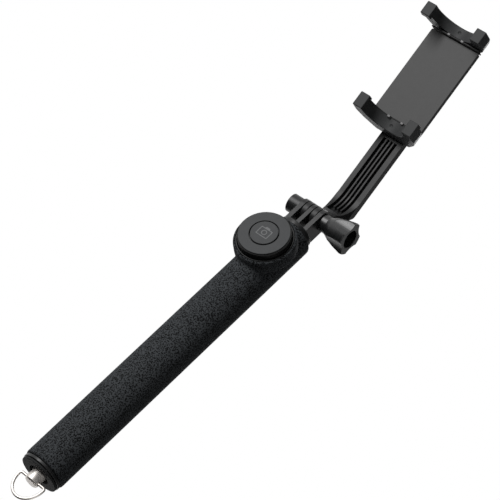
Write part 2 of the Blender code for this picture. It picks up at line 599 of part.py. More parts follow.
def build_arm(paint, arm, arm_across):
    """Ribbed phone arm with its two hinge prongs, and the screws that hold the lower jaw to it."""
    heel = (ARM_BACK - ARM_HEEL_RADIUS, ARM_HEEL + ARM_HEEL_RADIUS)
    outline = arc((0, 0), PRONG_RADIUS, 90, 310, 14)
    outline += arc(heel, ARM_HEEL_RADIUS, -50, 0, 4)
    outline += [(ARM_BACK, UPPER_JAW_START - CLOSED_OPENING), (ARM_SETBACK + ARM_TIP_THICKNESS, ARM_TIP)]
    outline += arm_front(0.0, PRONG_RADIUS, ARM_TIP)[:-1]
    half = ARM_WIDTH / 2
    piece = prism("phone_arm", outline, -half, half, ALONG_X, paint["plastic"], arm)
    prong_half = PRONG_PITCH / 2 + ARM_PRONG_THICKNESS / 2
    waist = [(-prong_half, -2 * PRONG_RADIUS), (prong_half, -2 * PRONG_RADIUS), (prong_half, PRONG_SWING),
             (half, ARM_SETBACK - GAP), (half, ARM_BACK + MM), (-half, ARM_BACK + MM),
             (-half, ARM_SETBACK - GAP), (-prong_half, PRONG_SWING)]
    combine(piece, prism("waist_form", waist, -2 * PRONG_RADIUS, ARM_TIP + MM, ALONG_Z, None, arm), "INTERSECT")
    bore(piece, BOLT_HOLE_RADIUS, -ARM_WIDTH, ARM_WIDTH, arm_across, "arm_bolt_hole")
    slot_half = PRONG_PITCH / 2 - ARM_PRONG_THICKNESS / 2
    slot = rod("finger_slot", PRONG_SWING + GAP, -slot_half, slot_half, None, arm_across, 32)
    combine(piece, slot, "DIFFERENCE")
    open_front = [(PRONG_RADIUS, CHANNEL_START), (PRONG_RADIUS, CHANNEL_TOP)]
    channel = prism("channel_form", arm_front(CHANNEL_DEPTH, CHANNEL_START, CHANNEL_TOP) + open_front,
                    -CHANNEL_WIDTH / 2, CHANNEL_WIDTH / 2, ALONG_X, None, arm)
    combine(piece, channel, "DIFFERENCE")
    rib_line = arm_front(RIB_SETBACK, CHANNEL_START - MM, CHANNEL_TOP + MM)
    root_line = arm_front(CHANNEL_DEPTH + MM, CHANNEL_START - MM, CHANNEL_TOP + MM)
    for number in range(RIB_COUNT):
        middle = (number - (RIB_COUNT - 1) / 2) * RIB_PITCH
        rib = prism(f"rib_form_{number}", rib_line + root_line[::-1], middle - RIB_WIDTH / 2,
                    middle + RIB_WIDTH / 2, ALONG_X, None, arm)
        combine(piece, rib, "UNION")
    for side, label in ((-1, "left"), (1, "right")):
        screw_axis = make_frame(f"screw_axis_{label}", (side * SCREW_SPACING / 2, ARM_BACK, SCREW_Z),
                                (math.pi / 2, 0, 0), arm)
        head_radius = SCREW_HEAD_DIAMETER / 2
        head_seat = SCREW_HEAD_THICKNESS + GAP
        bore(piece, head_radius + GAP, -MM, head_seat, screw_axis, f"screw_seat_{label}", 20)
        bore(piece, SCREW_DIAMETER / 2 + GAP, 0, ARM_THICKNESS + MM, screw_axis, f"screw_hole_{label}", 12)
        tip = ARM_THICKNESS + SCREW_LENGTH
        screw = [(0, 0), (head_radius, 0), (head_radius, SCREW_HEAD_THICKNESS), (SCREW_DIAMETER / 2, SCREW_HEAD_THICKNESS),
                 (SCREW_DIAMETER / 2, tip), (0, tip)]
        lathe(f"arm_screw_{label}", screw, paint["steel"], screw_axis, 16)


def scoop_angle(depth, inset):
    """Angle of the scoop's arc, in degrees, at a depth behind the horns' front."""
    return math.degrees(math.asin((SCOOP_RADIUS - SCOOP_DEPTH + depth) / (SCOOP_RADIUS + inset)))


def jaw_half(inset, front, back):
    """Right half of a jaw between a front and a back, as (x, y) points: the scoop, then the outer bend."""
    points = arc((0, SCOOP_CENTRE), SCOOP_RADIUS + inset, 90, scoop_angle(front, inset), 12)
    outer = JAW_WIDTH / 2 - inset
    side = HOUSING_WIDTH / 2 - inset
    first = math.degrees(math.asin(front / outer))
    last = math.degrees(math.acos(side / outer))
    return points + arc((0, -JAW_REACH), outer, first, last, 6) + [(side, back)]


def both_sides(half):
    """A closed outline from the right half of it, drawn from the middle outwards."""
    return half + [(-x, y) for x, y in reversed(half) if abs(x) > 1e-9]


def build_jaw(name, low, high, wall_low, wall_high, pad_low, paint, parent):
    """A jaw with a scoop: a horn at each end, a lower wall behind them, a root, and a rubber facing on the wall."""
    outline = both_sides(jaw_half(0.0, 0.0, HOUSING_BACK))
    jaw = prism(name, outline, low, high, ALONG_Z, paint["plastic"], parent, JAW_EDGE)
    horn_back = HORN_DEPTH - JAW_REACH
    for label, bottom, top in (("over", wall_high, high + MM), ("under", low - MM, wall_low)):
        if top - bottom > 1.1 * MM:
            step = block(f"{name}_step_{label}", (-JAW_WIDTH, horn_back, bottom), (JAW_WIDTH, PAD_BACK + GAP, top),
                         None, parent)
            combine(jaw, step, "DIFFERENCE")
    pad = jaw_half(PAD_INSET, HORN_DEPTH + GAP, PAD_BACK)
    prism(f"{name}_pad", both_sides(pad), pad_low, pad_low + PAD_THICKNESS, ALONG_Z, paint["rubber"], parent,
          PAD_EDGE)
    return jaw


def build_clamp(paint, arm):
    """Fixed side of the phone clamp: lower jaw, front plate, spring housing and spring pins."""
    wall_top = LOWER_JAW_TOP - PAD_THICKNESS - GAP
    jaw = build_jaw("lower_jaw", LOWER_JAW_START, LOWER_JAW_TOP, LOWER_JAW_START, wall_top, wall_top + GAP, paint, arm)
    for label in ("left", "right"):
        hole_axis = bpy.data.objects[f"screw_axis_{label}"]
        bore(jaw, SCREW_DIAMETER / 2 + GAP, ARM_THICKNESS - MM, ARM_THICKNESS + SCREW_LENGTH + MM, hole_axis,
             f"jaw_hole_{label}", 12)
    block("clamp_plate", (-PLATE_WIDTH / 2, PLATE_SETBACK, PLATE_BOTTOM), (PLATE_WIDTH / 2, PLATE_BACK, PLATE_TOP),
          paint["satin"], arm, PLATE_EDGE)
    housing = block("clamp_housing", (-HOUSING_WIDTH / 2, HOUSING_FRONT, PLATE_BOTTOM),
                    (HOUSING_WIDTH / 2, HOUSING_BACK, PLATE_TOP), paint["plastic"], arm, HOUSING_EDGE)
    cavity = block("cavity_form", (-CAVITY_HALF_WIDTH, HOUSING_FRONT - MM, CAVITY_BOTTOM),
                   (CAVITY_HALF_WIDTH, CAVITY_FLOOR, PLATE_TOP - HOUSING_TOP_WALL), None, arm)
    combine(housing, cavity, "DIFFERENCE")
    mouth_half = TONGUE_WIDTH / 2 + GAP
    mouth = block("mouth_form", (-mouth_half, HOUSING_FRONT - MM, PLATE_TOP - 2 * HOUSING_TOP_WALL),
                  (mouth_half, TONGUE_BACK + GAP, PLATE_TOP + MM), None, arm)
    combine(housing, mouth, "DIFFERENCE")
    for side, label in ((-1, "left"), (1, "right")):
        pin_axis = make_frame(f"spring_pin_axis_{label}", (side * SPRING_X, 0, SPRING_PIN_Z), (-math.pi / 2, 0, 0), arm)
        rod(f"spring_pin_{label}", SPRING_PIN_DIAMETER / 2, TONGUE_FRONT, CAVITY_FLOOR - GAP, paint["steel"],
            pin_axis, 12)


def build_slider(paint, slider):
    """Sliding side of the phone clamp: upper jaw with its tongue and spring tabs."""
    wall_bottom = UPPER_JAW_START + PAD_THICKNESS + GAP
    jaw = build_jaw("upper_jaw", UPPER_JAW_START, UPPER_JAW_TOP, wall_bottom, UPPER_JAW_TOP, UPPER_JAW_START, paint,
                    slider)
    tongue = block("tongue_form", (-TONGUE_WIDTH / 2, TONGUE_FRONT, UPPER_JAW_START - TONGUE_LENGTH),
                   (TONGUE_WIDTH / 2, TONGUE_BACK, UPPER_JAW_START + 2 * MM), None, slider)
    combine(jaw, tongue, "UNION")
    tab_half = CAVITY_HALF_WIDTH - GAP
    tabs = block("tab_form", (-tab_half, TONGUE_FRONT, TAB_BOTTOM), (tab_half, TONGUE_BACK, TAB_TOP), None, slider)
    combine(jaw, tabs, "UNION")


def spring_route():
    """Points of one extension spring: a straight end, a close helix and a straight end."""
    radius = (SPRING_DIAMETER - SPRING_WIRE) / 2
    low = SPRING_BOTTOM + 2 * SPRING_WIRE
    high = SPRING_TOP - 2 * SPRING_WIRE
    steps = SPRING_TURNS * SPRING_POINTS
    route = [Vector((radius, 0.0, SPRING_BOTTOM)), Vector((radius, 0.0, SPRING_BOTTOM + SPRING_WIRE))]
    for step in range(steps + 1):
        angle = 2 * math.pi * step / SPRING_POINTS
        route.append(Vector((radius * math.cos(angle), radius * math.sin(angle), low + (high - low) * step / steps)))
    return route + [Vector((radius, 0.0, SPRING_TOP - SPRING_WIRE)), Vector((radius, 0.0, SPRING_TOP))]


def least_self_gap(route):
    """Smallest clear distance between turns of a tube that follows a route."""
    least = math.inf
    for first in range(len(route)):
        for second in range(first + SPRING_POINTS // 2, len(route)):
            least = min(least, (route[first] - route[second]).length)
    return least - SPRING_WIRE


def build_springs(paint, arm):
    """The two springs that pull the upper jaw down."""
    route = spring_route()
    print(f"spring least self gap {least_self_gap(route) / MM:.2f} mm")
    for side, label in ((-1, "left"), (1, "right")):
        curve = bpy.data.curves.new(f"clamp_spring_{label}", "CURVE")
        curve.dimensions = "3D"
        curve.bevel_depth = SPRING_WIRE / 2
        curve.bevel_resolution = 1
        curve.use_fill_caps = True
        spline = curve.splines.new("POLY")
        spline.points.add(len(route) - 1)
        for point, place in zip(spline.points, route):
            point.co = (place.x + side * SPRING_X, place.y + SPRING_Y, place.z, 1.0)
        curve.materials.append(paint["steel"])
        piece = bpy.data.objects.new(f"clamp_spring_{label}", curve)
        piece.parent = arm
        bpy.context.collection.objects.link(piece)


def main():
    """Build the whole stick in the pose that it is stored in."""
    clear_scene()
    paint = {
        "foam": make_material("foam", (0.020, 0.020, 0.022), 0.85),
        "satin": make_material("satin", (0.075, 0.077, 0.078), 0.45),
        "shell": make_material("shell", (0.090, 0.092, 0.094), 0.42),
        "plastic": make_material("plastic", (0.030, 0.031, 0.032), 0.40),
        "rubber": make_material("rubber", (0.012, 0.012, 0.012), 0.70),
        "nylon": make_material("nylon", (0.035, 0.035, 0.036), 0.50),
        "alloy": make_material("alloy", (0.62, 0.63, 0.65), 0.28, 1.0),
        "steel": make_material("steel", (0.66, 0.64, 0.61), 0.25, 1.0),
        "brass": make_material("brass", (0.72, 0.55, 0.26), 0.30, 1.0),
        "board": make_material("board", (0.02, 0.12, 0.05), 0.50),
    }
    handle = make_frame("handle", (0, 0, 0))
    remote = make_frame("remote", (0, 0, REMOTE_Z), (math.pi / 2, 0, 0))
    ring = make_frame("ring", (0, 0, RING_AXIS_Z))
    hinge = make_frame("hinge", (0, 0, HINGE_Z))
    across = make_frame("hinge_axis", (0, 0, HINGE_Z), (0, math.pi / 2, 0))
    arm = make_frame("arm", (0, 0, HINGE_Z), (ARM_TILT, 0, 0))
    arm_across = make_frame("arm_axis", (0, 0, 0), (0, math.pi / 2, 0), arm)
    slider = make_frame("slider", (0, 0, 0), parent=arm)
    build_handle(paint, handle, remote)
    build_ring(paint, handle, ring)
    build_sections(paint, handle)
    build_remote(paint, remote)
    build_head(paint, handle, hinge, across)
    build_knob(paint, across)
    build_arm(paint, arm, arm_across)
    build_clamp(paint, arm)
    build_slider(paint, slider)
    build_springs(paint, arm)
    for number in range(1, SECTION_COUNT + 1):
        print(f"section {number} slides {section_travel(number) / MM:.1f} mm")


main()
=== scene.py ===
"""Selfie stick, dressed for its photograph.

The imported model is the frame. Each visible piece is modelled again here with the fine edges, grain and
finish of the real one, in the place of its plain solid, and rides on the same body.

Metres. +Z runs along the handle to the phone clamp, -Y is the way the shutter button faces and +X points
to the thumb knob. The origin is halfway along the foam grip.
"""

import json
import logging
import math
from dataclasses import dataclass
from enum import Enum

import bmesh
import bpy
from mathutils import Matrix, Vector


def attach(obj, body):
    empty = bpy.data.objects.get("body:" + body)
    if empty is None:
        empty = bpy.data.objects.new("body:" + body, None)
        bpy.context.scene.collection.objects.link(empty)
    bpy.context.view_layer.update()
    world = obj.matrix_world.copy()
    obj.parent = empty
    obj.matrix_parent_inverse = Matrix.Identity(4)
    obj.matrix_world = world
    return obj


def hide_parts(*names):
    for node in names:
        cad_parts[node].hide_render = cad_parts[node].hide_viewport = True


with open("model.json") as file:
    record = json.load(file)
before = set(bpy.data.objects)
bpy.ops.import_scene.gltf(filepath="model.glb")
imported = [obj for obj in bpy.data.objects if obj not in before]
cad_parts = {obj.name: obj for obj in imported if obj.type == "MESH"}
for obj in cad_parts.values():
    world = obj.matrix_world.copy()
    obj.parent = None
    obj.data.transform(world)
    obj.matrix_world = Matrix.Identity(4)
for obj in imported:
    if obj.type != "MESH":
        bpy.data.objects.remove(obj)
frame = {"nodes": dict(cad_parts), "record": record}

LOG = logging.getLogger("selfie_stick")
MM = 0.001

# Clearance between pieces
GAP = 0.3 * MM

# Places that more than one sub-assembly uses
HINGE_Z = 110.95 * MM
REMOTE_Z = 74.75 * MM
RING_Z = -101.75 * MM
ARM_TILT = math.radians(20.5)
ARM_BACK = 26.9 * MM
SCREW_Z = 67.7 * MM
SCREW_X = 4.5 * MM

# Edge roundings, from crisp to broad
CRISP = 0.1 * MM
FINE = 0.15 * MM
SMALL = 0.2 * MM
EASED = 0.25 * MM
SOFT = 0.3 * MM
BROAD = 0.4 * MM
EDGE_STEPS = 3

# The angles from which an edge is rounded and is shaded as sharp, and the half angle of a straight corner
BEVEL_ANGLE = math.radians(35)
SHADE_ANGLE = math.radians(40)
STRAIGHT = math.radians(88)

# Facets in a full turn, from the remote's face to a six-sided nut
FACE_TURN = 160
WIDE_TURN = 128
TURN = 96
INNER_TURN = 64
HOLE_TURN = 48
PIN_TURN = 40
SCREW_TURN = 32
HEX = 6

Point2 = tuple[float, float]
Point3 = tuple[float, float, float]
Corner = tuple[float, float, float]
Span4 = tuple[float, float, float, float]
Shape = bmesh.types.BMesh
Piece = bpy.types.Object
Tree = bpy.types.NodeTree
Socket = bpy.types.NodeSocket


class Place(Enum):
    """Frames that the sub-assemblies are drawn in."""

    HANDLE = "handle"
    REMOTE = "remote"
    HINGE = "hinge"
    ACROSS = "across"
    ARM = "arm"
    ARM_ACROSS = "arm across"
    SCREWS = "arm screws"
    RING_ACROSS = "ring across"

    def matrix(self) -> Matrix:
        """The frame's place in the row frame.

        Returns:
            The matrix that takes a point of the frame there.
        """
        across = Matrix.Rotation(math.pi / 2, 4, "Y")
        upright = Matrix.Rotation(math.pi / 2, 4, "X")
        hinge = Matrix.Translation((0, 0, HINGE_Z))
        arm = hinge @ Matrix.Rotation(ARM_TILT, 4, "X")
        return {
            Place.HANDLE: Matrix.Identity(4),
            Place.REMOTE: Matrix.Translation((0, 0, REMOTE_Z)) @ upright,
            Place.HINGE: hinge,
            Place.ACROSS: hinge @ across,
            Place.ARM: arm,
            Place.ARM_ACROSS: arm @ across,
            Place.SCREWS: arm @ Matrix.Translation((0, ARM_BACK, SCREW_Z)) @ upright,
            Place.RING_ACROSS: Matrix.Translation((0, 0, RING_Z)) @ across,
        }[self]


class Along(Enum):
    """The way that an outline is extruded in its frame."""

    X = "X"
    Y = "Y"
    Z = "Z"

    def matrix(self) -> Matrix:
        """Turns an outline's own axes into the frame's.

        Returns:
            The turn as a matrix.
        """
        return {
            Along.X: Matrix(((0, 0, 1, 0), (1, 0, 0, 0), (0, 1, 0, 0), (0, 0, 0, 1))),
            Along.Y: Matrix(((1, 0, 0, 0), (0, 0, -1, 0), (0, 1, 0, 0), (0, 0, 0, 1))),
            Along.Z: Matrix.Identity(4),
        }[self]


class Carve(Enum):
    """What a helper shape does to a piece."""

    JOIN = "UNION"
    CUT = "DIFFERENCE"
    KEEP = "INTERSECT"


class Grain(Enum):
    """Surface textures that a finish can carry."""

    MOULDED = "moulded"
    PEBBLED = "pebbled"
    BRUSHED = "brushed"


def feed(tree: Tree, node: bpy.types.Node, inputs: dict[str | int, object]) -> None:
    """Set or link a node's inputs.

    Args:
        tree: The node's tree.
        node: The node.
        inputs: What each input gets, by name or number: a socket is linked, anything else is set.
    """
    for key, value in inputs.items():
        if isinstance(value, bpy.types.NodeSocket):
            tree.links.new(value, node.inputs[key])
        else:
            node.inputs[key].default_value = value


def add_node(tree: Tree, kind: str, inputs: dict[str | int, object], operation: str = "") -> bpy.types.Node:
    """Add a shader node and feed its inputs.

    Args:
        tree: The tree that gets the node.
        kind: Its type, without the leading ShaderNode.
        inputs: What each input gets, as for feed.
        operation: What a Math node works out.

    Returns:
        The node.
    """
    node = tree.nodes.new(f"ShaderNode{kind}")
    if operation:
        node.operation = operation
    feed(tree, node, inputs)
    return node


@dataclass(frozen=True)
class Layers:
    """A grain of fine noise: its detail, and the scale and share of the broad noise in its tone."""

    detail: float
    broad: float
    share: float


# Fine spark-eroded grain with a faint broad mottle, and fine polishing lines with a few broader ones
LAYERS = {Grain.MOULDED: Layers(3.0, 0.06, 0.55), Grain.BRUSHED: Layers(4.0, 0.15, 0.5)}


class GrainGroups:
    """Shader node groups shared by the finishes, each built once."""

    def __init__(self) -> None:
        """Start with no group built."""
        self._built: dict[Grain, Tree] = {}

    def get(self, grain: Grain) -> Tree:
        """The node group of one grain.

        Args:
            grain: Which texture is wanted.

        Returns:
            A group with the inputs Vector and Scale and the outputs Tone and Height.
        """
        if grain not in self._built:
            tree = bpy.data.node_groups.new(f"{grain.value}_grain", "ShaderNodeTree")
            tree.interface.new_socket("Vector", in_out="INPUT", socket_type="NodeSocketVector")
            tree.interface.new_socket("Scale", in_out="INPUT", socket_type="NodeSocketFloat")
            tree.interface.new_socket("Tone", in_out="OUTPUT", socket_type="NodeSocketFloat")
            tree.interface.new_socket("Height", in_out="OUTPUT", socket_type="NodeSocketFloat")
            source = tree.nodes.new("NodeGroupInput")
            vector, scale = source.outputs["Vector"], source.outputs["Scale"]
            if grain in LAYERS:
                tone, height = self._layered(tree, vector, scale, LAYERS[grain])
            else:
                tone, height = self._pebbled(tree, vector, scale)
            feed(tree, tree.nodes.new("NodeGroupOutput"), {"Tone": tone, "Height": height})
            self._built[grain] = tree
        return self._built[grain]

    @staticmethod
    def _noise(tree: Tree, vector: Socket, scale: Socket, factor: float, detail: float) -> Socket:
        """Noise at a multiple of the group's scale.

        Args:
            tree: The group's tree.
            vector: The group's vector.
            scale: The group's scale.
            factor: How many times that scale it has.
            detail: How many finer layers it has.

        Returns:
            The noise as a value.
        """
        times = add_node(tree, "Math", {0: scale, 1: factor}, "MULTIPLY")
        inputs = {"Vector": vector, "Scale": times.outputs[0], "Detail": detail}
        return add_node(tree, "TexNoise", inputs).outputs[0]

    @staticmethod
    def _mix(tree: Tree, first: Socket, second: Socket, share: float) -> Socket:
        """Blend two values, with a fixed share of the second."""
        return add_node(tree, "Mix", {0: share, 2: first, 3: second}).outputs[0]

    def _layered(self, tree: Tree, vector: Socket, scale: Socket, layers: Layers) -> tuple[Socket, Socket]:
        """Fine noise with a share of broad noise in its tone.

        Args:
            tree: The group's tree.
            vector: The group's vector.
            scale: The group's scale.
            layers: How the two are set.

        Returns:
            Tone and height.
        """
        fine = self._noise(tree, vector, scale, 1.0, layers.detail)
        broad = self._noise(tree, vector, scale, layers.broad, 2.0)
        return self._mix(tree, fine, broad, layers.share), fine

    def _pebbled(self, tree: Tree, vector: Socket, scale: Socket) -> tuple[Socket, Socket]:
        """Closed foam skin: small rounded cells over a soft unevenness.

        Args:
            tree: The group's tree.
            vector: The group's vector.
            scale: The group's scale.

        Returns:
            Tone and height.
        """
        cells = add_node(tree, "TexVoronoi", {})
        cells.feature = "SMOOTH_F1"
        feed(tree, cells, {"Smoothness": 0.35, "Vector": vector, "Scale": scale})
        speck = self._noise(tree, vector, scale, 1.7, 2.0)
        patch = self._noise(tree, vector, scale, 0.12, 3.0)
        height = self._mix(tree, cells.outputs["Distance"], speck, 0.35)
        return self._mix(tree, height, patch, 0.12), height


GRAINS = GrainGroups()
WHITE = (1.0, 1.0, 1.0, 1.0)

# A grain's relief in parts of its cell
RELIEF = 0.25


@dataclass(frozen=True)
class Finish:
    """One surface finish: two tones mixed by a grain, and how it takes the light."""

    name: str
    slot: str
    dark: Point3
    light: Point3
    rough: Point2
    grain: Grain
    grain_scale: float
    bump: float
    metallic: float = 0.0
    specular: float = 0.5
    stretch: Point3 = (1.0, 1.0, 1.0)
    spread: Point2 = (0.3, 0.7)

    def material(self) -> bpy.types.Material:
        """The finish as a material, built on first use.

        Returns:
            A material on Object coordinates.
        """
        found = bpy.data.materials.get(self.name)
        if found:
            return found
        material = bpy.data.materials.new(self.name)
        material.use_nodes = True
        tree = material.node_tree
        coords = add_node(tree, "TexCoord", {})
        mapping = add_node(tree, "Mapping", {"Vector": coords.outputs["Object"], "Scale": self.stretch})
        grain = tree.nodes.new("ShaderNodeGroup")
        grain.node_tree = GRAINS.get(self.grain)
        feed(tree, grain, {"Vector": mapping.outputs["Vector"], "Scale": self.grain_scale})
        tone = grain.outputs["Tone"]
        ramp = add_node(tree, "ValToRGB", {"Fac": tone})
        for index, colour in enumerate((self.dark, self.light)):
            ramp.color_ramp.elements[index].position = self.spread[index]
            ramp.color_ramp.elements[index].color = (*colour, 1.0)
        gloss = add_node(tree, "MapRange", {"Value": tone, "To Min": self.rough[0], "To Max": self.rough[1]})
        bump = add_node(tree, "Bump", {"Strength": self.bump, "Distance": RELIEF / self.grain_scale,
                                       "Height": grain.outputs["Height"]})
        feed(tree, tree.nodes["Principled BSDF"], {
            "Base Color": ramp.outputs["Color"], "Roughness": gloss.outputs["Result"],
            "Normal": bump.outputs["Normal"], "Metallic": self.metallic, "Specular IOR Level": self.specular})
        return material


def grey(value: float, warmth: float = 0.0) -> Point3:
    """A near-neutral colour, warmer above zero and cooler below."""
    return (value * (1 + warmth), value, value * (1 - warmth))


def moulded(name: str, slot: str, tones: Point2, cool: float, rough: Point2, bump: float, specular: float,
            scale: float = 3600) -> Finish:
    """A moulded plastic between two greys.

    Args:
        name: The material's name.
        slot: The record's slot.
        tones: Its darker and lighter grey.
        cool: How far the greys lean to blue.
        rough: Its least and greatest roughness.
        bump: Strength of the grain's relief.
        specular: How strongly it mirrors.
        scale: How fine the grain is.

    Returns:
        The finish.
    """
    dark, light = grey(tones[0], -cool), grey(tones[1], -cool)
    return Finish(name, slot, dark, light, rough, Grain.MOULDED, scale, bump, specular=specular)


FOAM = Finish("foam_skin", "foam", grey(0.002, -0.05), grey(0.073, -0.07), (0.65, 0.90), Grain.PEBBLED,
              1400, 1.0, specular=0.08, spread=(0.43, 0.53))
SATIN = moulded("satin_plastic", "satin", (0.090, 0.106), 0.0, (0.42, 0.52), 0.10, 0.13, 4200)
SHELL = moulded("remote_plastic", "shell", (0.072, 0.086), 0.03, (0.45, 0.55), 0.08, 0.13, 4200)
ICON = moulded("icon_relief", "shell", (0.16, 0.19), 0.02, (0.35, 0.45), 0.05, 0.2, 4200)
JAW = moulded("jaw_plastic", "plastic", (0.046, 0.058), 0.02, (0.40, 0.52), 0.07, 0.13)
ARM = moulded("arm_plastic", "plastic", (0.010, 0.018), 0.03, (0.34, 0.46), 0.12, 0.24)
BLACK = moulded("black_plastic", "plastic", (0.010, 0.018), 0.03, (0.30, 0.42), 0.12, 0.32)
INK = moulded("deep_black", "plastic", (0.004, 0.007), 0.0, (0.45, 0.55), 0.08, 0.12)
# Stops on the jaws: a grey well above the jaw's, partly a painted highlight that keeps them bright where the
# horn shades them
NUB_PAINTED_HIGHLIGHT = moulded("pale_painted_highlight", "plastic", (0.16, 0.19), 0.0, (0.35, 0.45), 0.08, 0.3)
GLOSS = moulded("gloss_black", "plastic", (0.010, 0.014), 0.03, (0.30, 0.38), 0.05, 0.55)
CAP = moulded("cap_plastic", "plastic", (0.020, 0.028), 0.03, (0.55, 0.65), 0.12, 0.08)
NYLON = moulded("black_nylon", "nylon", (0.016, 0.022), 0.0, (0.45, 0.55), 0.10, 0.2)
RUBBER = Finish("grip_rubber", "rubber", grey(0.045), grey(0.055), (0.65, 0.80), Grain.PEBBLED, 2600, 0.35,
                specular=0.2)
STEEL = Finish("plated_steel", "steel", grey(0.62, 0.05), grey(0.76, 0.05), (0.38, 0.52), Grain.BRUSHED,
               2600, 0.10, 1.0)
ALLOY = Finish("drawn_alloy", "alloy", grey(0.56, -0.01), grey(0.66, -0.01), (0.20, 0.34), Grain.BRUSHED,
               1800, 0.10, 1.0, stretch=(1.0, 1.0, 0.02))
BRASS = Finish("turned_brass", "brass", (0.56, 0.40, 0.16), (0.70, 0.53, 0.24), (0.22, 0.36), Grain.BRUSHED,
               2200, 0.10, 1.0)
BOARD = Finish("board_green", "board", (0.010, 0.085, 0.030), (0.016, 0.110, 0.042), (0.35, 0.5),
               Grain.MOULDED, 2600, 0.05)


def arc(centre: Point2, radius: float, start: float, end: float, steps: int) -> list[Point2]:
    """Points along an arc from start to end degrees.

    Args:
        centre: The arc's centre.
        radius: Its radius.
        start: First angle in degrees.
        end: Last angle in degrees.
        steps: How many chords the arc has.

    Returns:
        The points, both ends included.
    """
    turn = [math.radians(start + (end - start) * step / steps) for step in range(steps + 1)]
    return [(centre[0] + radius * math.cos(t), centre[1] + radius * math.sin(t)) for t in turn]


def rounded(corners: list[Corner], steps: int = 5) -> list[Point2]:
    """Round the corners of a closed outline.

    Args:
        corners: Points with the radius wanted at each, 0 for a sharp one.
        steps: Chords in each rounded corner.

    Returns:
        The outline's points.
    """
    points: list[Point2] = []
    count = len(corners)
    for index, (x, y, radius) in enumerate(corners):
        here = Vector((x, y))
        before = Vector(corners[index - 1][:2]) - here
        after = Vector(corners[(index + 1) % count][:2]) - here
        bare = radius <= 0 or before.length < 1e-9 or after.length < 1e-9
        half = math.pi / 2 if bare else before.angle(after) / 2
        if half > STRAIGHT:
            points.append((x, y))
            continue
        setback = min(radius / math.tan(half), 0.49 * before.length, 0.49 * after.length)
        start = here + before.normalized() * setback
        end = here + after.normalized() * setback
        for step in range(steps + 1):
            t = step / steps
            bend = start.lerp(here, t).lerp(here.lerp(end, t), t)
            points.append((bend.x, bend.y))
    return points


def panel(half: float, low: float, high: float, radius: float, steps: int = 5) -> list[Point2]:
    """The outline of a panel with rounded corners, half wide to each side and from low to high."""
    corners = ((-half, low), (half, low), (half, high), (-half, high))
    return rounded([(x, y, radius) for x, y in corners], steps)


def spun(profile: list[Point2], place: Place, segments: int = TURN, axis: Point2 = (0.0, 0.0)) -> Shape:
    """Spin a closed profile of (radius, height) points about an axis along a frame's Z.

    Args:
        profile: The outline, with points of radius 0 where it meets the axis.
        place: The frame.
        segments: Facets in a full turn.
        axis: Where the axis stands in the frame.

    Returns:
        A closed shape in the row frame.
    """
    bm = bmesh.new()
    verts = [bm.verts.new((max(radius, 0.0), 0.0, height)) for radius, height in profile]
    edges = [bm.edges.new(pair) for pair in zip(verts, verts[1:] + verts[:1])
             if max(pair[0].co.x, pair[1].co.x) > 1e-9]
    bmesh.ops.spin(bm, geom=verts + edges, cent=(0, 0, 0), axis=(0, 0, 1), dvec=(0, 0, 0),
                   angle=2 * math.pi, steps=segments, use_merge=True)
    bmesh.ops.remove_doubles(bm, verts=bm.verts, dist=1e-7)
    bmesh.ops.dissolve_degenerate(bm, edges=bm.edges, dist=1e-7)
    bmesh.ops.recalc_face_normals(bm, faces=bm.faces)
    bmesh.ops.translate(bm, verts=bm.verts, vec=(*axis, 0.0))
    bmesh.ops.transform(bm, matrix=place.matrix(), verts=bm.verts)
    return bm


def bar(radius: float, low: float, high: float, place: Place, segments: int = HOLE_TURN,
        axis: Point2 = (0.0, 0.0)) -> Shape:
    """A plain round bar along a frame's Z, used to cut holes."""
    return spun([(0, low), (radius, low), (radius, high), (0, high)], place, segments, axis)


def extruded(outline: list[Point2], low: float, high: float, along: Along, place: Place,
             edge: float = 0.0) -> Shape:
    """Extrude a closed outline and round its sharp edges.

    Args:
        outline: Points of the outline.
        low: Where the extrusion starts.
        high: Where it ends.
        along: Its direction in the frame.
        place: The frame.
        edge: Width of the rounding on sharp edges.

    Returns:
        A closed shape in the row frame.
    """
    bm = bmesh.new()
    face = bm.faces.new([bm.verts.new((u, v, low)) for u, v in outline])
    grown = bmesh.ops.extrude_face_region(bm, geom=[face])
    top = [item for item in grown["geom"] if isinstance(item, bmesh.types.BMVert)]
    bmesh.ops.translate(bm, verts=top, vec=(0, 0, high - low))
    bmesh.ops.recalc_face_normals(bm, faces=bm.faces)
    if edge:
        sharp = [e for e in bm.edges if e.calc_face_angle(0.0) > BEVEL_ANGLE]
        bmesh.ops.bevel(bm, geom=sharp, offset=edge, offset_type="OFFSET", segments=EDGE_STEPS, profile=0.5,
                        affect="EDGES", clamp_overlap=True, material=-1)
    bmesh.ops.transform(bm, matrix=place.matrix() @ along.matrix(), verts=bm.verts)
    bmesh.ops.recalc_face_normals(bm, faces=bm.faces)
    return bm


def brick(low: Point3, high: Point3, place: Place, edge: float = 0.0) -> Shape:
    """A box between two corners of a frame, with rounded edges if edge is set."""
    outline = [(low[0], low[1]), (high[0], low[1]), (high[0], high[1]), (low[0], high[1])]
    return extruded(outline, low[2], high[2], Along.Z, place, edge)


def ball(centre: Point3, radius: float, place: Place) -> Shape:
    """A ball in a frame, used to press dimples.

    Args:
        centre: Its centre.
        radius: Its radius.
        place: The frame.

    Returns:
        A closed shape in the row frame.
    """
    bm = bmesh.new()
    bmesh.ops.create_uvsphere(bm, u_segments=32, v_segments=16, radius=radius,
                              matrix=place.matrix() @ Matrix.Translation(centre))
    return bm


def stand(name: str, data: bpy.types.ID) -> Piece:
    """Put a new object with some data into the scene.

    Args:
        name: The object's name.
        data: Its mesh, curve, light or camera.

    Returns:
        The object.
    """
    thing = bpy.data.objects.new(name, data)
    bpy.context.scene.collection.objects.link(thing)
    return thing


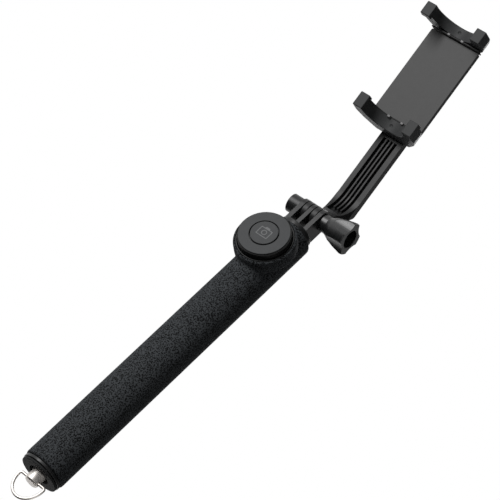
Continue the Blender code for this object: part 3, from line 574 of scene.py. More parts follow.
def to_object(name: str, bm: Shape) -> Piece:
    """Make a smooth-shaded object of a shape and free the shape.

    Args:
        name: The object's name.
        bm: The shape, in the row frame.

    Returns:
        The object.
    """
    mesh = bpy.data.meshes.new(name)
    bm.to_mesh(mesh)
    bm.free()
    mesh.shade_smooth()
    return stand(name, mesh)


def as_shown(piece: Piece) -> bpy.types.Mesh:
    """The mesh that an object shows, with its modifiers or its curve's thickness."""
    depsgraph = bpy.context.evaluated_depsgraph_get()
    return bpy.data.meshes.new_from_object(piece.evaluated_get(depsgraph))


def settle(piece: Piece) -> None:
    """Apply a piece's modifiers to its mesh.

    Args:
        piece: The piece.
    """
    mesh = as_shown(piece)
    mesh.name = piece.name
    piece.modifiers.clear()
    piece.data = mesh


def carve(piece: Piece, tools: list[tuple[Carve, Shape]], edge: float = 0.0, segments: int = 2) -> None:
    """Join, cut or intersect a piece with helper shapes, then round the edges that this leaves.

    Args:
        piece: The piece to change.
        tools: What each helper shape does, and the shape, in order.
        edge: Width of the rounding.
        segments: Steps in the rounding.
    """
    helpers = []
    for way, bm in tools:
        helper = to_object(f"{piece.name}_tool", bm)
        modifier = piece.modifiers.new("carve", "BOOLEAN")
        modifier.operation = way.value
        modifier.solver = "EXACT"
        modifier.object = helper
        helpers.append(helper)
    if edge:
        bevel = piece.modifiers.new("edges", "BEVEL")
        bevel.width = edge
        bevel.segments = segments
        bevel.limit_method = "ANGLE"
        bevel.angle_limit = BEVEL_ANGLE
        bevel.miter_outer = "MITER_ARC"
    settle(piece)
    for helper in helpers:
        bpy.data.objects.remove(helper, do_unlink=True)


def hand_over(piece: Piece, body: str, finish: Finish, *nodes: str) -> None:
    """Give a finished piece its material, its body and the solids that it stands for.

    Args:
        piece: The finished piece.
        body: The body that carries it.
        finish: Its finish.
        *nodes: The solids it replaces.
    """
    piece.data.materials.clear()
    piece.data.materials.append(finish.material())
    piece.data.shade_smooth()
    piece.data.set_sharp_from_angle(angle=SHADE_ANGLE)
    flats = piece.modifiers.new("flats", "WEIGHTED_NORMAL")
    flats.keep_sharp = True
    settle(piece)
    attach(piece, body)
    if nodes:
        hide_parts(*nodes)
    LOG.info("%s rides on %s with %d faces", piece.name, body, len(piece.data.polygons))


def lathe_piece(name: str, corners: list[Corner], place: Place, body: str, finish: Finish, node: str,
                segments: int = TURN) -> None:
    """A turned piece: round its profile, spin it and hand it over."""
    hand_over(to_object(name, spun(rounded(corners), place, segments)), body, finish, node)


@dataclass
class Grip:
    """Foam sleeve with the round boss for the remote."""

    radius: float = 12.5 * MM
    half_length: float = 94.25 * MM
    end_round: float = 0.8 * MM
    bore: float = 10.3 * MM
    boss_radius: float = 17.2 * MM
    boss_rim: float = 17.4 * MM
    boss_skirt: float = 9.5 * MM
    boss_skirt_round: float = 2.0 * MM
    boss_foot: Point2 = (10.5 * MM, 3.5 * MM)
    boss_round: float = 1.4 * MM
    pocket_radius: float = 16.0 * MM
    pocket_floor: float = 11.5 * MM
    cell: float = 0.55 * MM
    quick_cell: float = 1.1 * MM
    flow: int = 14
    quick_flow: int = 6

    def build(self) -> None:
        """Join sleeve and boss, let the foam flow together where they meet, and hand the grip over."""
        low, high = -self.half_length, self.half_length
        sleeve = [(0, low, 0), (self.radius, low, self.end_round), (self.radius, high, self.end_round),
                  (0, high, 0)]
        boss = [(0, self.boss_foot[1], 0), (*self.boss_foot, 0),
                (self.boss_radius, self.boss_skirt, self.boss_skirt_round),
                (self.boss_radius, self.boss_rim, self.boss_round), (0, self.boss_rim, 0)]
        piece = to_object("grip_foam", spun(rounded(sleeve), Place.HANDLE, WIDE_TURN))
        carve(piece, [(Carve.JOIN, spun(rounded(boss), Place.REMOTE, WIDE_TURN))])
        remesh = piece.modifiers.new("skin", "REMESH")
        remesh.mode = "VOXEL"
        remesh.voxel_size = self.cell
        smooth = piece.modifiers.new("flow", "SMOOTH")
        smooth.factor = 0.5
        smooth.iterations = self.flow
        settle(piece)
        pocket = bar(self.pocket_radius, self.pocket_floor, self.boss_rim + MM, Place.REMOTE, WIDE_TURN)
        carve(piece, [(Carve.CUT, bar(self.bore, low - MM, high + MM, Place.HANDLE, TURN)),
                      (Carve.CUT, pocket)])
        hand_over(piece, "handle", FOAM, "foam_grip")


@dataclass
class LowerEnd:
    """Rim, end cap, threaded insert, stud and strap ring."""

    rim_radius: float = 11.9 * MM
    rim_low: float = -96.25 * MM
    rim_high: float = -94.55 * MM
    rim_round: float = 0.35 * MM
    tube_radius: float = 10.0 * MM
    cap_radius: float = 11.5 * MM
    cap_low: float = -97.8 * MM
    cap_high: float = -96.55 * MM
    plug_radius: float = 8.9 * MM
    plug_top: float = -87.55 * MM
    recess_radius: float = 6.2 * MM
    recess_floor: float = -95.9 * MM
    web: float = 0.65 * MM
    insert_radius: float = 4.65 * MM
    stud_radius: float = 3.15 * MM
    stud_head: float = 4.05 * MM
    stud_low: float = -103.65 * MM
    stud_chamfer: float = 0.7 * MM
    eye_half: float = 5.0 * MM
    wire: float = 0.8 * MM
    wire_steps: int = 8
    ring_half_width: float = 8.6 * MM
    ring_drop: float = 11.6 * MM
    ring_corner: float = 1.2 * MM
    corner_steps: int = 10
    bow_steps: int = 60

    def build(self) -> None:
        """Build and hand over every piece of the lower end."""
        bore = self.tube_radius + GAP
        hole = self.insert_radius + GAP
        eye = self.stud_radius + GAP
        seat = self.recess_floor + self.web
        lathe_piece("rim_band", [
            (bore, self.rim_low, CRISP), (self.rim_radius, self.rim_low, self.rim_round),
            (self.rim_radius, self.rim_high, self.rim_round), (bore, self.rim_high, CRISP),
        ], Place.HANDLE, "handle", BLACK, "rim_collar", WIDE_TURN)
        lathe_piece("cap_turned", [
            (hole, self.plug_top, SMALL), (self.plug_radius, self.plug_top, BROAD),
            (self.plug_radius, self.cap_high, 0), (self.cap_radius, self.cap_high, EASED),
            (self.cap_radius, self.cap_low, BROAD), (self.recess_radius, self.cap_low, SOFT),
            (self.recess_radius, self.recess_floor, FINE), (eye, self.recess_floor, FINE),
            (eye, seat, 0), (hole, seat, 0),
        ], Place.HANDLE, "handle", CAP, "end_cap", WIDE_TURN)
        lathe_piece("insert_turned", [
            (eye, seat + GAP, SOFT), (self.insert_radius, seat + GAP, SMALL),
            (self.insert_radius, self.plug_top, SMALL), (eye, self.plug_top, SMALL),
        ], Place.HANDLE, "handle", BRASS, "thread_insert", INNER_TURN)
        self._stud()
        self._ring()

    def _stud(self) -> None:
        """Turned stud with a wider head, cross-drilled for the ring."""
        shoulder = self.recess_floor - GAP
        profile = [(0, self.stud_low, 0), (self.stud_head - self.stud_chamfer, self.stud_low, FINE),
                   (self.stud_head, self.stud_low + self.stud_chamfer, FINE),
                   (self.stud_head, shoulder, SMALL), (self.stud_radius, shoulder, 0),
                   (self.stud_radius, self.plug_top, SMALL), (0, self.plug_top, 0)]
        piece = to_object("stud_turned", spun(rounded(profile), Place.HANDLE))
        eye = bar(self.wire + GAP, -self.eye_half, self.eye_half, Place.RING_ACROSS, PIN_TURN)
        carve(piece, [(Carve.CUT, eye)], FINE)
        hand_over(piece, "handle", STEEL, "ring_stud")

    def _ring(self) -> None:
        """Wire ring bent to a D, its straight side through the stud."""
        straight = self.ring_half_width - self.ring_corner
        corner = arc((straight, -self.ring_corner), self.ring_corner, 90, 0, self.corner_steps)
        drop = self.ring_drop - self.ring_corner
        bow = [(self.ring_half_width * math.cos(t), -self.ring_corner - drop * math.sin(t))
               for t in (math.pi * step / self.bow_steps for step in range(1, self.bow_steps))]
        left = [(-x, z) for x, z in reversed(corner)]
        route = [(0.0, 0.0), (straight / 2, 0.0)] + corner + bow + left + [(-straight / 2, 0.0)]
        curve = bpy.data.curves.new("ring_wire", "CURVE")
        curve.dimensions = "3D"
        curve.bevel_depth = self.wire
        curve.bevel_resolution = self.wire_steps
        spline = curve.splines.new("POLY")
        spline.points.add(len(route) - 1)
        for point, (x, z) in zip(spline.points, route):
            point.co = (x, 0.0, z + RING_Z, 1.0)
        spline.use_cyclic_u = True
        source = stand("ring_curve", curve)
        mesh = as_shown(source)
        bpy.data.objects.remove(source, do_unlink=True)
        hand_over(stand("ring_wire", mesh), "ring", STEEL, "d_ring")


@dataclass
class Telescope:
    """Handle tube and the four sections that slide out of it, with their bushes and collars.

    The last section has its pin's hole in its solid, which stays.
    """

    handle_radius: float = 10.0 * MM
    handle_wall: float = 0.8 * MM
    handle_low: float = -96.25 * MM
    top: float = 93.45 * MM
    wall: float = 0.6 * MM
    step_gap: float = 1.1 * MM
    floor: float = -87.25 * MM
    flange: float = 2.0 * MM
    ledge: float = 0.8 * MM
    sleeve: float = 12.0 * MM
    collar: float = 9.0 * MM
    lip: float = 0.8 * MM
    bodies: tuple[str, ...] = ("section_1", "section_2", "section_3", "head")

    def build(self) -> None:
        """Build and hand over every tube, bush and collar."""
        bore = self.handle_radius - self.handle_wall
        lip_radius, holder, holder_collar = self.handle_radius, "handle", "handle_collar"
        foot, brim = self.top - self.collar, self.top + GAP
        self._tube("handle_tube_drawn", bore, self.handle_radius, self.handle_low, "handle", "handle_tube")
        for number, body in enumerate(self.bodies, start=1):
            radius = bore - self.step_gap
            inner = radius - self.wall
            low = self.floor + (number - 1) * (self.flange + GAP)
            seat = low + self.flange
            end = seat + self.sleeve
            if body != self.bodies[-1]:
                self._tube(f"section_{number}_drawn", inner, radius, seat + GAP, body,
                           f"section_tube_{number}")
            lathe_piece(f"bush_{number}_moulded", [
                (inner - self.ledge, low, 0), (bore - GAP, low, CRISP), (bore - GAP, end, CRISP),
                (radius + GAP, end, 0), (radius + GAP, seat, 0), (inner - self.ledge, seat, 0),
            ], Place.HANDLE, body, NYLON, f"guide_bush_{number}", INNER_TURN)
            lathe_piece(f"{holder_collar}_moulded", [
                (radius + GAP, foot, 0), (bore - GAP, foot, 0), (bore - GAP, brim, 0),
                (lip_radius, brim, CRISP), (lip_radius, brim + self.lip, SOFT),
                (radius + GAP, brim + self.lip, FINE),
            ], Place.HANDLE, holder, NYLON, holder_collar, INNER_TURN)
            bore, lip_radius, holder, holder_collar = inner, radius, body, f"section_collar_{number}"

    def _tube(self, name: str, inner: float, outer: float, low: float, body: str, node: str) -> None:
        """One drawn tube with softened ends."""
        lathe_piece(name, [(inner, low, CRISP), (outer, low, SMALL), (outer, self.top, SMALL),
                           (inner, self.top, CRISP)], Place.HANDLE, body, ALLOY, node)


@dataclass
class Remote:
    """Cup in the boss and the puck-shaped shutter remote in it, with the camera sign on its button."""

    cup_radius: float = 15.7 * MM
    cup_wall: float = 0.8 * MM
    cup_low: float = 11.8 * MM
    cup_floor: float = 13.0 * MM
    cup_rim: float = 17.4 * MM
    radius: float = 14.6 * MM
    low: float = 13.3 * MM
    low_round: float = 0.6 * MM
    split: float = 19.6 * MM
    shell: float = 1.0 * MM
    face_radius: float = 13.95 * MM
    face_low: float = 20.9 * MM
    face_round: float = 0.22 * MM
    top: float = 21.7 * MM
    plate: float = 20.2 * MM
    button_radius: float = 7.5 * MM
    groove: float = 0.7 * MM
    flange_low: float = 19.0 * MM
    flange_high: float = 19.9 * MM
    flange: float = 1.2 * MM
    button_top: float = 21.9 * MM
    sign_ends: Point2 = (-0.1 * MM, 0.06 * MM)
    sign_half: Point2 = (3.8 * MM, 2.8 * MM)
    sign_line: float = 0.5 * MM
    sign_corner: float = 0.5 * MM
    hump: Point3 = (1.7 * MM, 1.2 * MM, 0.9 * MM)
    lens: Point2 = (1.65 * MM, 1.15 * MM)

    def build(self) -> None:
        """Build and hand over the cup, the remote's shells, its button and the sign."""
        inside = self.cup_radius - self.cup_wall
        inner = self.radius - self.shell
        base_top, base_floor = self.split - GAP, self.low + self.shell
        hole = self.button_radius + self.groove
        flange = hole + self.flange
        lathe_piece("cup_moulded", [
            (0, self.cup_low, 0), (self.cup_radius, self.cup_low, SOFT),
            (self.cup_radius, self.cup_rim, SOFT), (inside, self.cup_rim, SOFT),
            (inside, self.cup_floor, SOFT), (0, self.cup_floor, 0),
        ], Place.REMOTE, "handle", ARM, "remote_cup", WIDE_TURN)
        lathe_piece("remote_shell", [
            (0, self.low, 0), (self.radius, self.low, self.low_round), (self.radius, base_top, FINE),
            (inner, base_top, 0), (inner, base_floor, SMALL), (0, base_floor, 0),
        ], Place.REMOTE, "remote", INK, "remote_base", WIDE_TURN)
        lathe_piece("remote_lid_moulded", [
            (hole, self.plate, 0), (inner, self.plate, 0), (inner, self.split, 0),
            (self.radius, self.split, FINE), (self.radius, self.face_low, FINE), (hole, self.face_low, 0),
        ], Place.REMOTE, "remote", INK, "remote_lid", FACE_TURN)
        face = [(hole, self.face_low, 0), (self.face_radius, self.face_low, 0),
                (self.face_radius, self.top, self.face_round), (hole, self.top, FINE)]
        hand_over(to_object("remote_face", spun(rounded(face), Place.REMOTE, FACE_TURN)), "remote", SHELL)
        lathe_piece("button_moulded", [
            (0, self.flange_low, 0), (flange, self.flange_low, CRISP), (flange, self.flange_high, CRISP),
            (self.button_radius, self.flange_high, 0), (self.button_radius, self.button_top, EASED),
            (0, self.button_top, 0),
        ], Place.REMOTE, "shutter", SHELL, "shutter_button", WIDE_TURN)
        self._sign()

    def _sign(self) -> None:
        """A plain camera sign in fine relief: body, hump and lens ring."""
        low, high = (self.button_top + end for end in self.sign_ends)
        wide, tall = self.sign_half
        foot, crown, rise = self.hump
        bend = self.sign_corner
        body = [(-wide, -tall, bend), (wide, -tall, bend), (wide, tall, bend), (foot, tall, 0),
                (crown, tall + rise, CRISP), (-crown, tall + rise, CRISP), (-foot, tall, 0),
                (-wide, tall, bend)]
        level = tall - self.sign_line
        inner = panel(wide - self.sign_line, -level, level, SOFT, EDGE_STEPS)
        outer_lens, inner_lens = self.lens
        outer = rounded(body, EDGE_STEPS)
        piece = to_object("button_sign", extruded(outer, low, high, Along.Z, Place.REMOTE))
        carve(piece, [
            (Carve.CUT, extruded(inner, low - MM, high + MM, Along.Z, Place.REMOTE)),
            (Carve.JOIN, bar(outer_lens, low, high, Place.REMOTE, PIN_TURN)),
            (Carve.CUT, bar(inner_lens, low - MM, high + MM, Place.REMOTE, PIN_TURN)),
        ])
        hand_over(piece, "shutter", ICON)


@dataclass
class HingeHead:
    """Three-pronged head on the last section, with its nut and thumb screw."""

    disc_radius: float = 10.4 * MM
    disc_low: float = 94.85 * MM
    disc_high: float = 97.6 * MM
    disc_round: float = 0.8 * MM
    spigot_radius: float = 2.1 * MM
    spigot_low: float = 80.85 * MM
    prong: float = 6.3 * MM
    prong_steps: int = 40
    half_width: float = 7.65 * MM
    pitch: float = 6.2 * MM
    thickness: float = 2.3 * MM
    root: float = -12.9 * MM
    beyond: float = 13.0 * MM
    barrel_radius: float = 5.4 * MM
    barrel_end: float = -14.85 * MM
    nut_radius: float = 4.3 * MM
    nut: float = 4.0 * MM
    bolt: float = 2.5 * MM
    bolt_seat: float = 2.0 * MM
    knob_start: float = 7.95 * MM
    knob_grip: float = 10.95 * MM
    knob_end: float = 26.75 * MM
    knob_radius: float = 9.5 * MM
    knob_turn: int = 120
    collar_radius: float = 5.0 * MM
    core_radius: float = 6.9 * MM
    scoops: int = 4
    scoop_radius: float = 10.0 * MM
    first_scoop: float = math.radians(-3)
    flare: tuple[Point2, ...] = ((0.06, 0.0), (0.30, 0.42), (0.60, 0.74), (0.93, 1.0), (1.0, 0.94))
    flare_round: float = 1.5 * MM
    recess_radius: float = 5.2 * MM
    recess: float = 6.0 * MM

    def build(self) -> None:
        """Build and hand over the head, nut, bolt and knob."""
        self._head()
        low = self.barrel_end + GAP
        nut = to_object("nut_hex", bar(self.nut_radius, low, low + self.nut, Place.ACROSS, HEX))
        carve(nut, [(Carve.CUT, bar(self.bolt + GAP, low - MM, 0, Place.ACROSS, PIN_TURN))], SMALL)
        hand_over(nut, "head", STEEL, "hinge_nut")
        socket = self.knob_end - self.recess - self.bolt_seat
        tip, end = low + GAP, socket - GAP
        lathe_piece("bolt_turned", [
            (0, tip, 0), (self.bolt, tip, BROAD), (self.bolt, end, SMALL), (0, end, 0),
        ], Place.ACROSS, "thumb_screw", STEEL, "clamp_bolt", HOLE_TURN)
        self._knob(socket)

    def _head(self) -> None:
        """Disc, prongs and nut barrel in one moulding."""
        profile = [(0, self.spigot_low, 0), (self.spigot_radius, self.spigot_low, SMALL),
                   (self.spigot_radius, self.disc_low, 0), (self.disc_radius, self.disc_low, BROAD),
                   (self.disc_radius, self.disc_high, self.disc_round), (0, self.disc_high, 0)]
        piece = to_object("head_moulded", spun(rounded(profile), Place.HANDLE, WIDE_TURN))
        foot = self.disc_high - HINGE_Z - MM
        dome = arc((0, 0), self.prong, 0, 180, self.prong_steps)
        tab = [(self.prong, foot)] + dome + [(-self.prong, foot)]
        barrel = bar(self.barrel_radius, self.barrel_end, -self.pitch, Place.ACROSS, INNER_TURN)
        tools = [(Carve.JOIN, extruded(tab, -self.half_width, self.half_width, Along.X, Place.HINGE)),
                 (Carve.JOIN, barrel)]
        slot = (self.pitch - self.thickness) / 2
        for middle in (-self.pitch / 2, self.pitch / 2):
            tools.append((Carve.CUT, brick((middle - slot, -self.beyond, self.root),
                                           (middle + slot, self.beyond, self.beyond), Place.HINGE)))
        pocket = self.barrel_end + 2 * GAP + self.nut
        end = self.half_width + MM
        tools += [(Carve.CUT, bar(self.nut_radius + GAP, self.barrel_end - MM, pocket, Place.ACROSS, HEX)),
                  (Carve.CUT, bar(self.bolt + GAP, pocket - MM, end, Place.ACROSS))]
        carve(piece, tools, SOFT)
        hand_over(piece, "head", BLACK, "hinge_head")

    def _knob(self, socket: float) -> None:
        """Knob with a flared grip, scooped for the fingers and hollow at its end.

        Args:
            socket: How far the bolt's hole reaches into it.
        """
        length = self.knob_end - self.knob_grip
        rise = self.knob_radius - self.collar_radius
        floor = self.knob_end - self.recess
        profile = [(0, self.knob_start, 0), (self.collar_radius, self.knob_start, SOFT)]
        profile += [(self.collar_radius + share * rise, self.knob_grip + along * length, self.flare_round)
                    for along, share in self.flare]
        profile += [(self.recess_radius, self.knob_end, SOFT), (self.recess_radius, floor, BROAD),
                    (0, floor, 0)]
        piece = to_object("knob_moulded", spun(rounded(profile), Place.ACROSS, self.knob_turn))
        reach = self.core_radius + self.scoop_radius
        tools = [(Carve.CUT, bar(self.bolt + GAP, self.knob_start - MM, socket, Place.ACROSS))]
        for number in range(self.scoops):
            turn = self.first_scoop + math.pi / 2 + 2 * math.pi * number / self.scoops
            axis = (reach * math.cos(turn), reach * math.sin(turn))
            scoop = bar(self.scoop_radius, self.knob_grip, self.knob_end + MM, Place.ACROSS, axis=axis)
            tools.append((Carve.CUT, scoop))
        carve(piece, tools, SOFT, EDGE_STEPS)
        hand_over(piece, "thumb_screw", GLOSS, "thumb_knob")


@dataclass
class PhoneArm:
    """Ribbed arm between the hinge and the phone clamp, with the two screws at its back."""

    half_width: float = 7.75 * MM
    prong: float = 6.3 * MM
    prong_half: float = 4.45 * MM
    prong_steps: int = 36
    slot_half: float = 1.75 * MM
    swing: float = 12.89 * MM
    shoulder: float = 22.1 * MM
    waist: Point2 = (-13.0 * MM, 28.0 * MM)
    beyond: float = 15.0 * MM
    front: float = 22.4 * MM
    back: float = ARM_BACK
    heel: float = 13.4 * MM
    heel_round: float = 2.6 * MM
    heel_steps: int = 8
    taper_from: float = 71.7 * MM
    tip: float = 108.0 * MM
    tip_back: float = 25.0 * MM
    fillet: float = 18.0 * MM
    fillet_steps: int = 30
    bolt: float = 2.8 * MM
    channel_half: float = 4.75 * MM
    channel_depth: float = 2.5 * MM
    channel_low: float = 10.5 * MM
    channel_high: float = 61.8 * MM
    rib_low: float = 13.4 * MM
    rib_pitch: float = 2.4 * MM
    rib_half: float = 0.45 * MM
    rib_setback: float = 0.15 * MM
    screw_head: Point2 = (2.0 * MM, 1.4 * MM)
    screw_head_round: float = 0.5 * MM
    screw: Point2 = (1.1 * MM, 10.5 * MM)
    screw_hole: float = 6.0 * MM
    cross: Point3 = (1.2 * MM, 0.28 * MM, 0.8 * MM)

    def build(self) -> None:
        """Build and hand over the arm and its two screws."""
        heel = (self.back - self.heel_round, self.heel + self.heel_round)
        outline = arc((0, 0), self.prong, 90, 310, self.prong_steps)
        outline += arc(heel, self.heel_round, -50, 0, self.heel_steps)
        outline += [(self.back, self.taper_from), (self.tip_back, self.tip)]
        outline += self._front(0.0, self.prong, self.tip)[:-1]
        blank = extruded(outline, -self.half_width, self.half_width, Along.X, Place.ARM)
        piece = to_object("arm_moulded", blank)
        carve(piece, self._tools(), EASED)
        hand_over(piece, "clamp", ARM, "phone_arm")
        self._screw("left", -SCREW_X)
        self._screw("right", SCREW_X)

    def _tools(self) -> list[tuple[Carve, Shape]]:
        """The shapes that give the arm its waist, prongs, channel, ribs and screw seats.

        Returns:
            What each shape does to the arm, and the shape.
        """
        near, far = self.waist
        right = [(self.prong_half, near), (self.prong_half, self.swing), (self.half_width, self.shoulder),
                 (self.half_width, far)]
        left = [(-x, y) for x, y in reversed(right)]
        waist = left[-1:] + right + left[:-1]
        mouth = [(self.prong, self.channel_low), (self.prong, self.channel_high)]
        channel = self._front(self.channel_depth, self.channel_low, self.channel_high) + mouth
        ends = (self.rib_low, self.channel_high + MM)
        rib = self._front(self.rib_setback, *ends) + self._front(self.channel_depth + MM, *ends)[::-1]
        tools = [
            (Carve.KEEP, extruded(waist, near, self.tip + MM, Along.Z, Place.ARM)),
            (Carve.CUT, bar(self.bolt, -self.beyond, self.beyond, Place.ARM_ACROSS)),
            (Carve.CUT, bar(self.swing + GAP, -self.slot_half, self.slot_half, Place.ARM_ACROSS, INNER_TURN)),
            (Carve.CUT, extruded(channel, -self.channel_half, self.channel_half, Along.X, Place.ARM)),
        ]
        for middle in (-self.rib_pitch, 0.0, self.rib_pitch):
            low, high = middle - self.rib_half, middle + self.rib_half
            tools.append((Carve.JOIN, extruded(rib, low, high, Along.X, Place.ARM)))
        head, thick = (size + GAP for size in self.screw_head)
        shank = self.screw[0] + GAP
        for axis in ((-SCREW_X, 0.0), (SCREW_X, 0.0)):
            tools.append((Carve.CUT, bar(head, -MM, thick, Place.SCREWS, HOLE_TURN, axis)))
            tools.append((Carve.CUT, bar(shank, 0, self.screw_hole, Place.SCREWS, SCREW_TURN, axis)))
        return tools

    def _screw(self, side: str, x: float) -> None:
        """One cross-headed screw, sunk in the arm's back.

        Args:
            side: Which of the two it is.
            x: Where its axis stands.
        """
        head, thick = self.screw_head
        shank, tip = self.screw
        profile = [(0, 0, 0), (head, 0, self.screw_head_round), (head, thick, CRISP), (shank, thick, 0),
                   (shank, tip, BROAD), (0, tip, 0)]
        piece = to_object(f"screw_{side}", spun(rounded(profile), Place.SCREWS, HOLE_TURN, (x, 0.0)))
        long, half, deep = self.cross
        carve(piece, [(Carve.CUT, brick((x - wide, -tall, -MM), (x + wide, tall, deep), Place.SCREWS))
                      for wide, tall in ((long, half), (half, long))])
        hand_over(piece, "clamp", STEEL, f"arm_screw_{side}")

    def _front(self, depth: float, low: float, high: float) -> list[Point2]:
        """The arm's front line set back by depth.

        Args:
            depth: How far behind the front face the line runs.
            low: Height where it ends.
            high: Height where it starts.

        Returns:
            Points (y, z) from high to low.
        """
        centre = (self.front - self.fillet, self.prong + self.fillet)
        radius = self.fillet + depth
        sweep = arc(centre, radius, 0, -90, self.fillet_steps)
        end = math.asin(max(-1.0, min(0.0, (low - centre[1]) / radius)))
        return ([(self.front + depth, high)] + [(y, z) for y, z in sweep if low < z < high]
                + [(centre[0] + radius * math.cos(end), low)])


@dataclass
class PhoneClamp:
    """Front plate, spring housing, and the two jaws with their rubber facings."""

    lower: Point2 = (63.7 * MM, 72.5 * MM)
    upper: Point2 = (127.0 * MM, 135.0 * MM)
    root_top: float = 71.7 * MM
    root_half: float = 11.6 * MM
    wall: float = 20.2 * MM
    reach: float = 1.9 * MM
    scoop: float = 14.0 * MM
    scoop_centre: float = -0.4 * MM
    scoop_steps: int = 36
    horn_depth: float = 3.6 * MM
    side: tuple[Corner, ...] = ((20.6 * MM, 6.0 * MM, 6.0 * MM), (17.9 * MM, 13.3 * MM, 5.0 * MM),
                                (12.2 * MM, 21.4 * MM, 1.2 * MM))
    jaw_edge: float = 0.5 * MM
    beyond: float = 30.0 * MM
    pad: float = 1.2 * MM
    pad_inset: float = 0.8 * MM
    pad_back: float = 13.5 * MM
    pad_ends: Point2 = (-0.1 * MM, 0.4 * MM)
    strip: Span4 = (16.4 * MM, 11.6 * MM, 127.1 * MM, 127.8 * MM)
    plate_half: float = 16.4 * MM
    plate_front: float = 13.8 * MM
    plate_back: float = 16.7 * MM
    plate_ends: Point2 = (70.4 * MM, 126.7 * MM)
    plate_corner: float = 0.8 * MM
    nub: Point3 = (4.6 * MM, 0.9 * MM, 1.3 * MM)
    nub_depth: Point2 = (2.2 * MM, 0.1 * MM)
    nub_drop: float = 0.9 * MM
    dimple: Point3 = (-0.6 * MM, 1.2 * MM, 1.6 * MM)
    screw_hole: Point3 = (1.4 * MM, 3.0 * MM, 11.5 * MM)
    housing_half: float = 14.0 * MM
    housing_front: float = 17.0 * MM
    housing_back: float = 22.1 * MM
    housing_ends: Point2 = (72.0 * MM, 126.7 * MM)
    housing_corner: float = 2.4 * MM
    housing_edge: float = 0.6 * MM
    cavity: Span4 = (12.4 * MM, 20.6 * MM, 73.6 * MM, 124.3 * MM)
    mouth: Span4 = (8.6 * MM, 19.4 * MM, 122.3 * MM, 129.3 * MM)
    tongue: Span4 = (8.3 * MM, 17.3 * MM, 19.1 * MM, 83.0 * MM)
    tongue_root: float = 2.0 * MM
    tabs: Point3 = (12.1 * MM, 91.6 * MM, 94.0 * MM)

    def build(self) -> None:
        """Build and hand over the plate, housing, jaws and facings."""
        plate = extruded(panel(self.plate_half, *self.plate_ends, self.plate_corner), -self.plate_back,
                         -self.plate_front, Along.Y, Place.ARM, BROAD)
        hand_over(to_object("plate_moulded", plate), "clamp", SATIN, "clamp_plate")
        self._housing()
        level = self.lower[1] - self.pad
        outline = self._mirrored(self._half(self.pad_inset, self.horn_depth + GAP, self.pad_back))
        facing = extruded(outline, *(level + end for end in self.pad_ends), Along.Z, Place.ARM, FINE)
        self._jaw("lower_jaw", self.lower, (self.lower[0], level - GAP), facing, "clamp")
        wide, front, low, high = self.strip
        facing = brick((-wide, front, low), (wide, self.plate_back, high), Place.ARM, FINE)
        self._jaw("upper_jaw", self.upper, (self.upper[0] + self.pad + GAP, self.upper[1]), facing, "slider")

    def _housing(self) -> None:
        """The hollow housing behind the plate, open in front and, for the tongue, at its top."""
        half, front, back = self.housing_half, self.housing_front, self.housing_back
        outline = rounded([(-half, front, SOFT), (half, front, SOFT), (half, back, self.housing_corner),
                           (-half, back, self.housing_corner)])
        shell = extruded(outline, *self.housing_ends, Along.Z, Place.ARM, self.housing_edge)
        piece = to_object("housing_moulded", shell)
        carve(piece, [(Carve.CUT, brick((-wide, front - MM, low), (wide, floor, high), Place.ARM))
                      for wide, floor, low, high in (self.cavity, self.mouth)])
        hand_over(piece, "clamp", BLACK, "clamp_housing")

    def _half(self, inset: float, setback: float, back: float) -> list[Corner]:
        """Right half of a jaw seen from its end: the scoop, the horn's tip and the bent side.

        Args:
            inset: How far inside the jaw's own outline it lies.
            setback: How far behind the horns' tips it starts.
            back: Where it ends behind the plate.

        Returns:
            Points with the radius wanted at each.
        """
        tip, scoop = setback - self.reach, self.scoop + inset
        horn = math.degrees(math.asin((tip - self.scoop_centre) / scoop))
        bend = arc((0, self.scoop_centre), scoop, 90, horn, self.scoop_steps)
        points = [(x, y, 0.0) for x, y in bend] + [(self.wall - inset, tip, 0.0)]
        points += [(x - inset, y, radius) for x, y, radius in self.side if tip < y < back]
        return points + [(self.root_half - inset, back, 0.0)]

    @staticmethod
    def _mirrored(half: list[Corner]) -> list[Point2]:
        """The closed, rounded outline of which half is the right side."""
        return rounded(half + [(-x, y, r) for x, y, r in reversed(half) if abs(x) > 1e-9])

    def _jaw(self, node: str, ends: Point2, wall: Point2, facing: Shape, body: str) -> None:
        """One jaw and its facing. The sliding jaw also has the tongue that runs in the housing.

        Args:
            node: Name of the jaw's solid.
            ends: Lower and upper level of its horns and root.
            wall: Lower and upper level of the wall between them.
            facing: Shape of its rubber facing.
            body: The body that carries it.
        """
        outline = self._mirrored(self._half(0.0, 0.0, self.housing_back))
        jaw = extruded(outline, *ends, Along.Z, Place.ARM, self.jaw_edge)
        piece = to_object(f"{node}_moulded", jaw)
        behind = self.horn_depth - self.reach
        far = self.beyond
        if body == "slider":
            wide, front, back, low = self.tongue
            tab, tab_low, tab_high = self.tabs
            root = ends[0] + self.tongue_root
            level = wall[0] - self.nub_drop
            foot = ends[0] - MM
            tools = [
                (Carve.CUT, brick((-far, behind, foot), (far, self.housing_front, wall[0]), Place.ARM)),
                (Carve.JOIN, brick((-wide, front, low), (wide, back, root), Place.ARM)),
                (Carve.JOIN, brick((-tab, front, tab_low), (tab, back, tab_high), Place.ARM)),
            ]
        else:
            top = ends[1] + MM
            hole, low, high = self.screw_hole
            level = wall[1]
            tools = [
                (Carve.CUT, brick((-far, behind, level), (far, self.housing_front, top), Place.ARM)),
                (Carve.CUT, brick((-far, self.plate_front, self.root_top), (far, far, top), Place.ARM)),
            ]
            tools += [(Carve.CUT, bar(hole, low, high, Place.SCREWS, SCREW_TURN, (x, 0.0)))
                      for x in (-SCREW_X, SCREW_X)]
        x, sunk, radius = self.dimple
        centre = (x, self.scoop + self.scoop_centre - sunk, (wall[0] + wall[1]) / 2)
        tools.append((Carve.CUT, ball(centre, radius, Place.ARM)))
        carve(piece, tools)
        hand_over(piece, body, JAW, node)
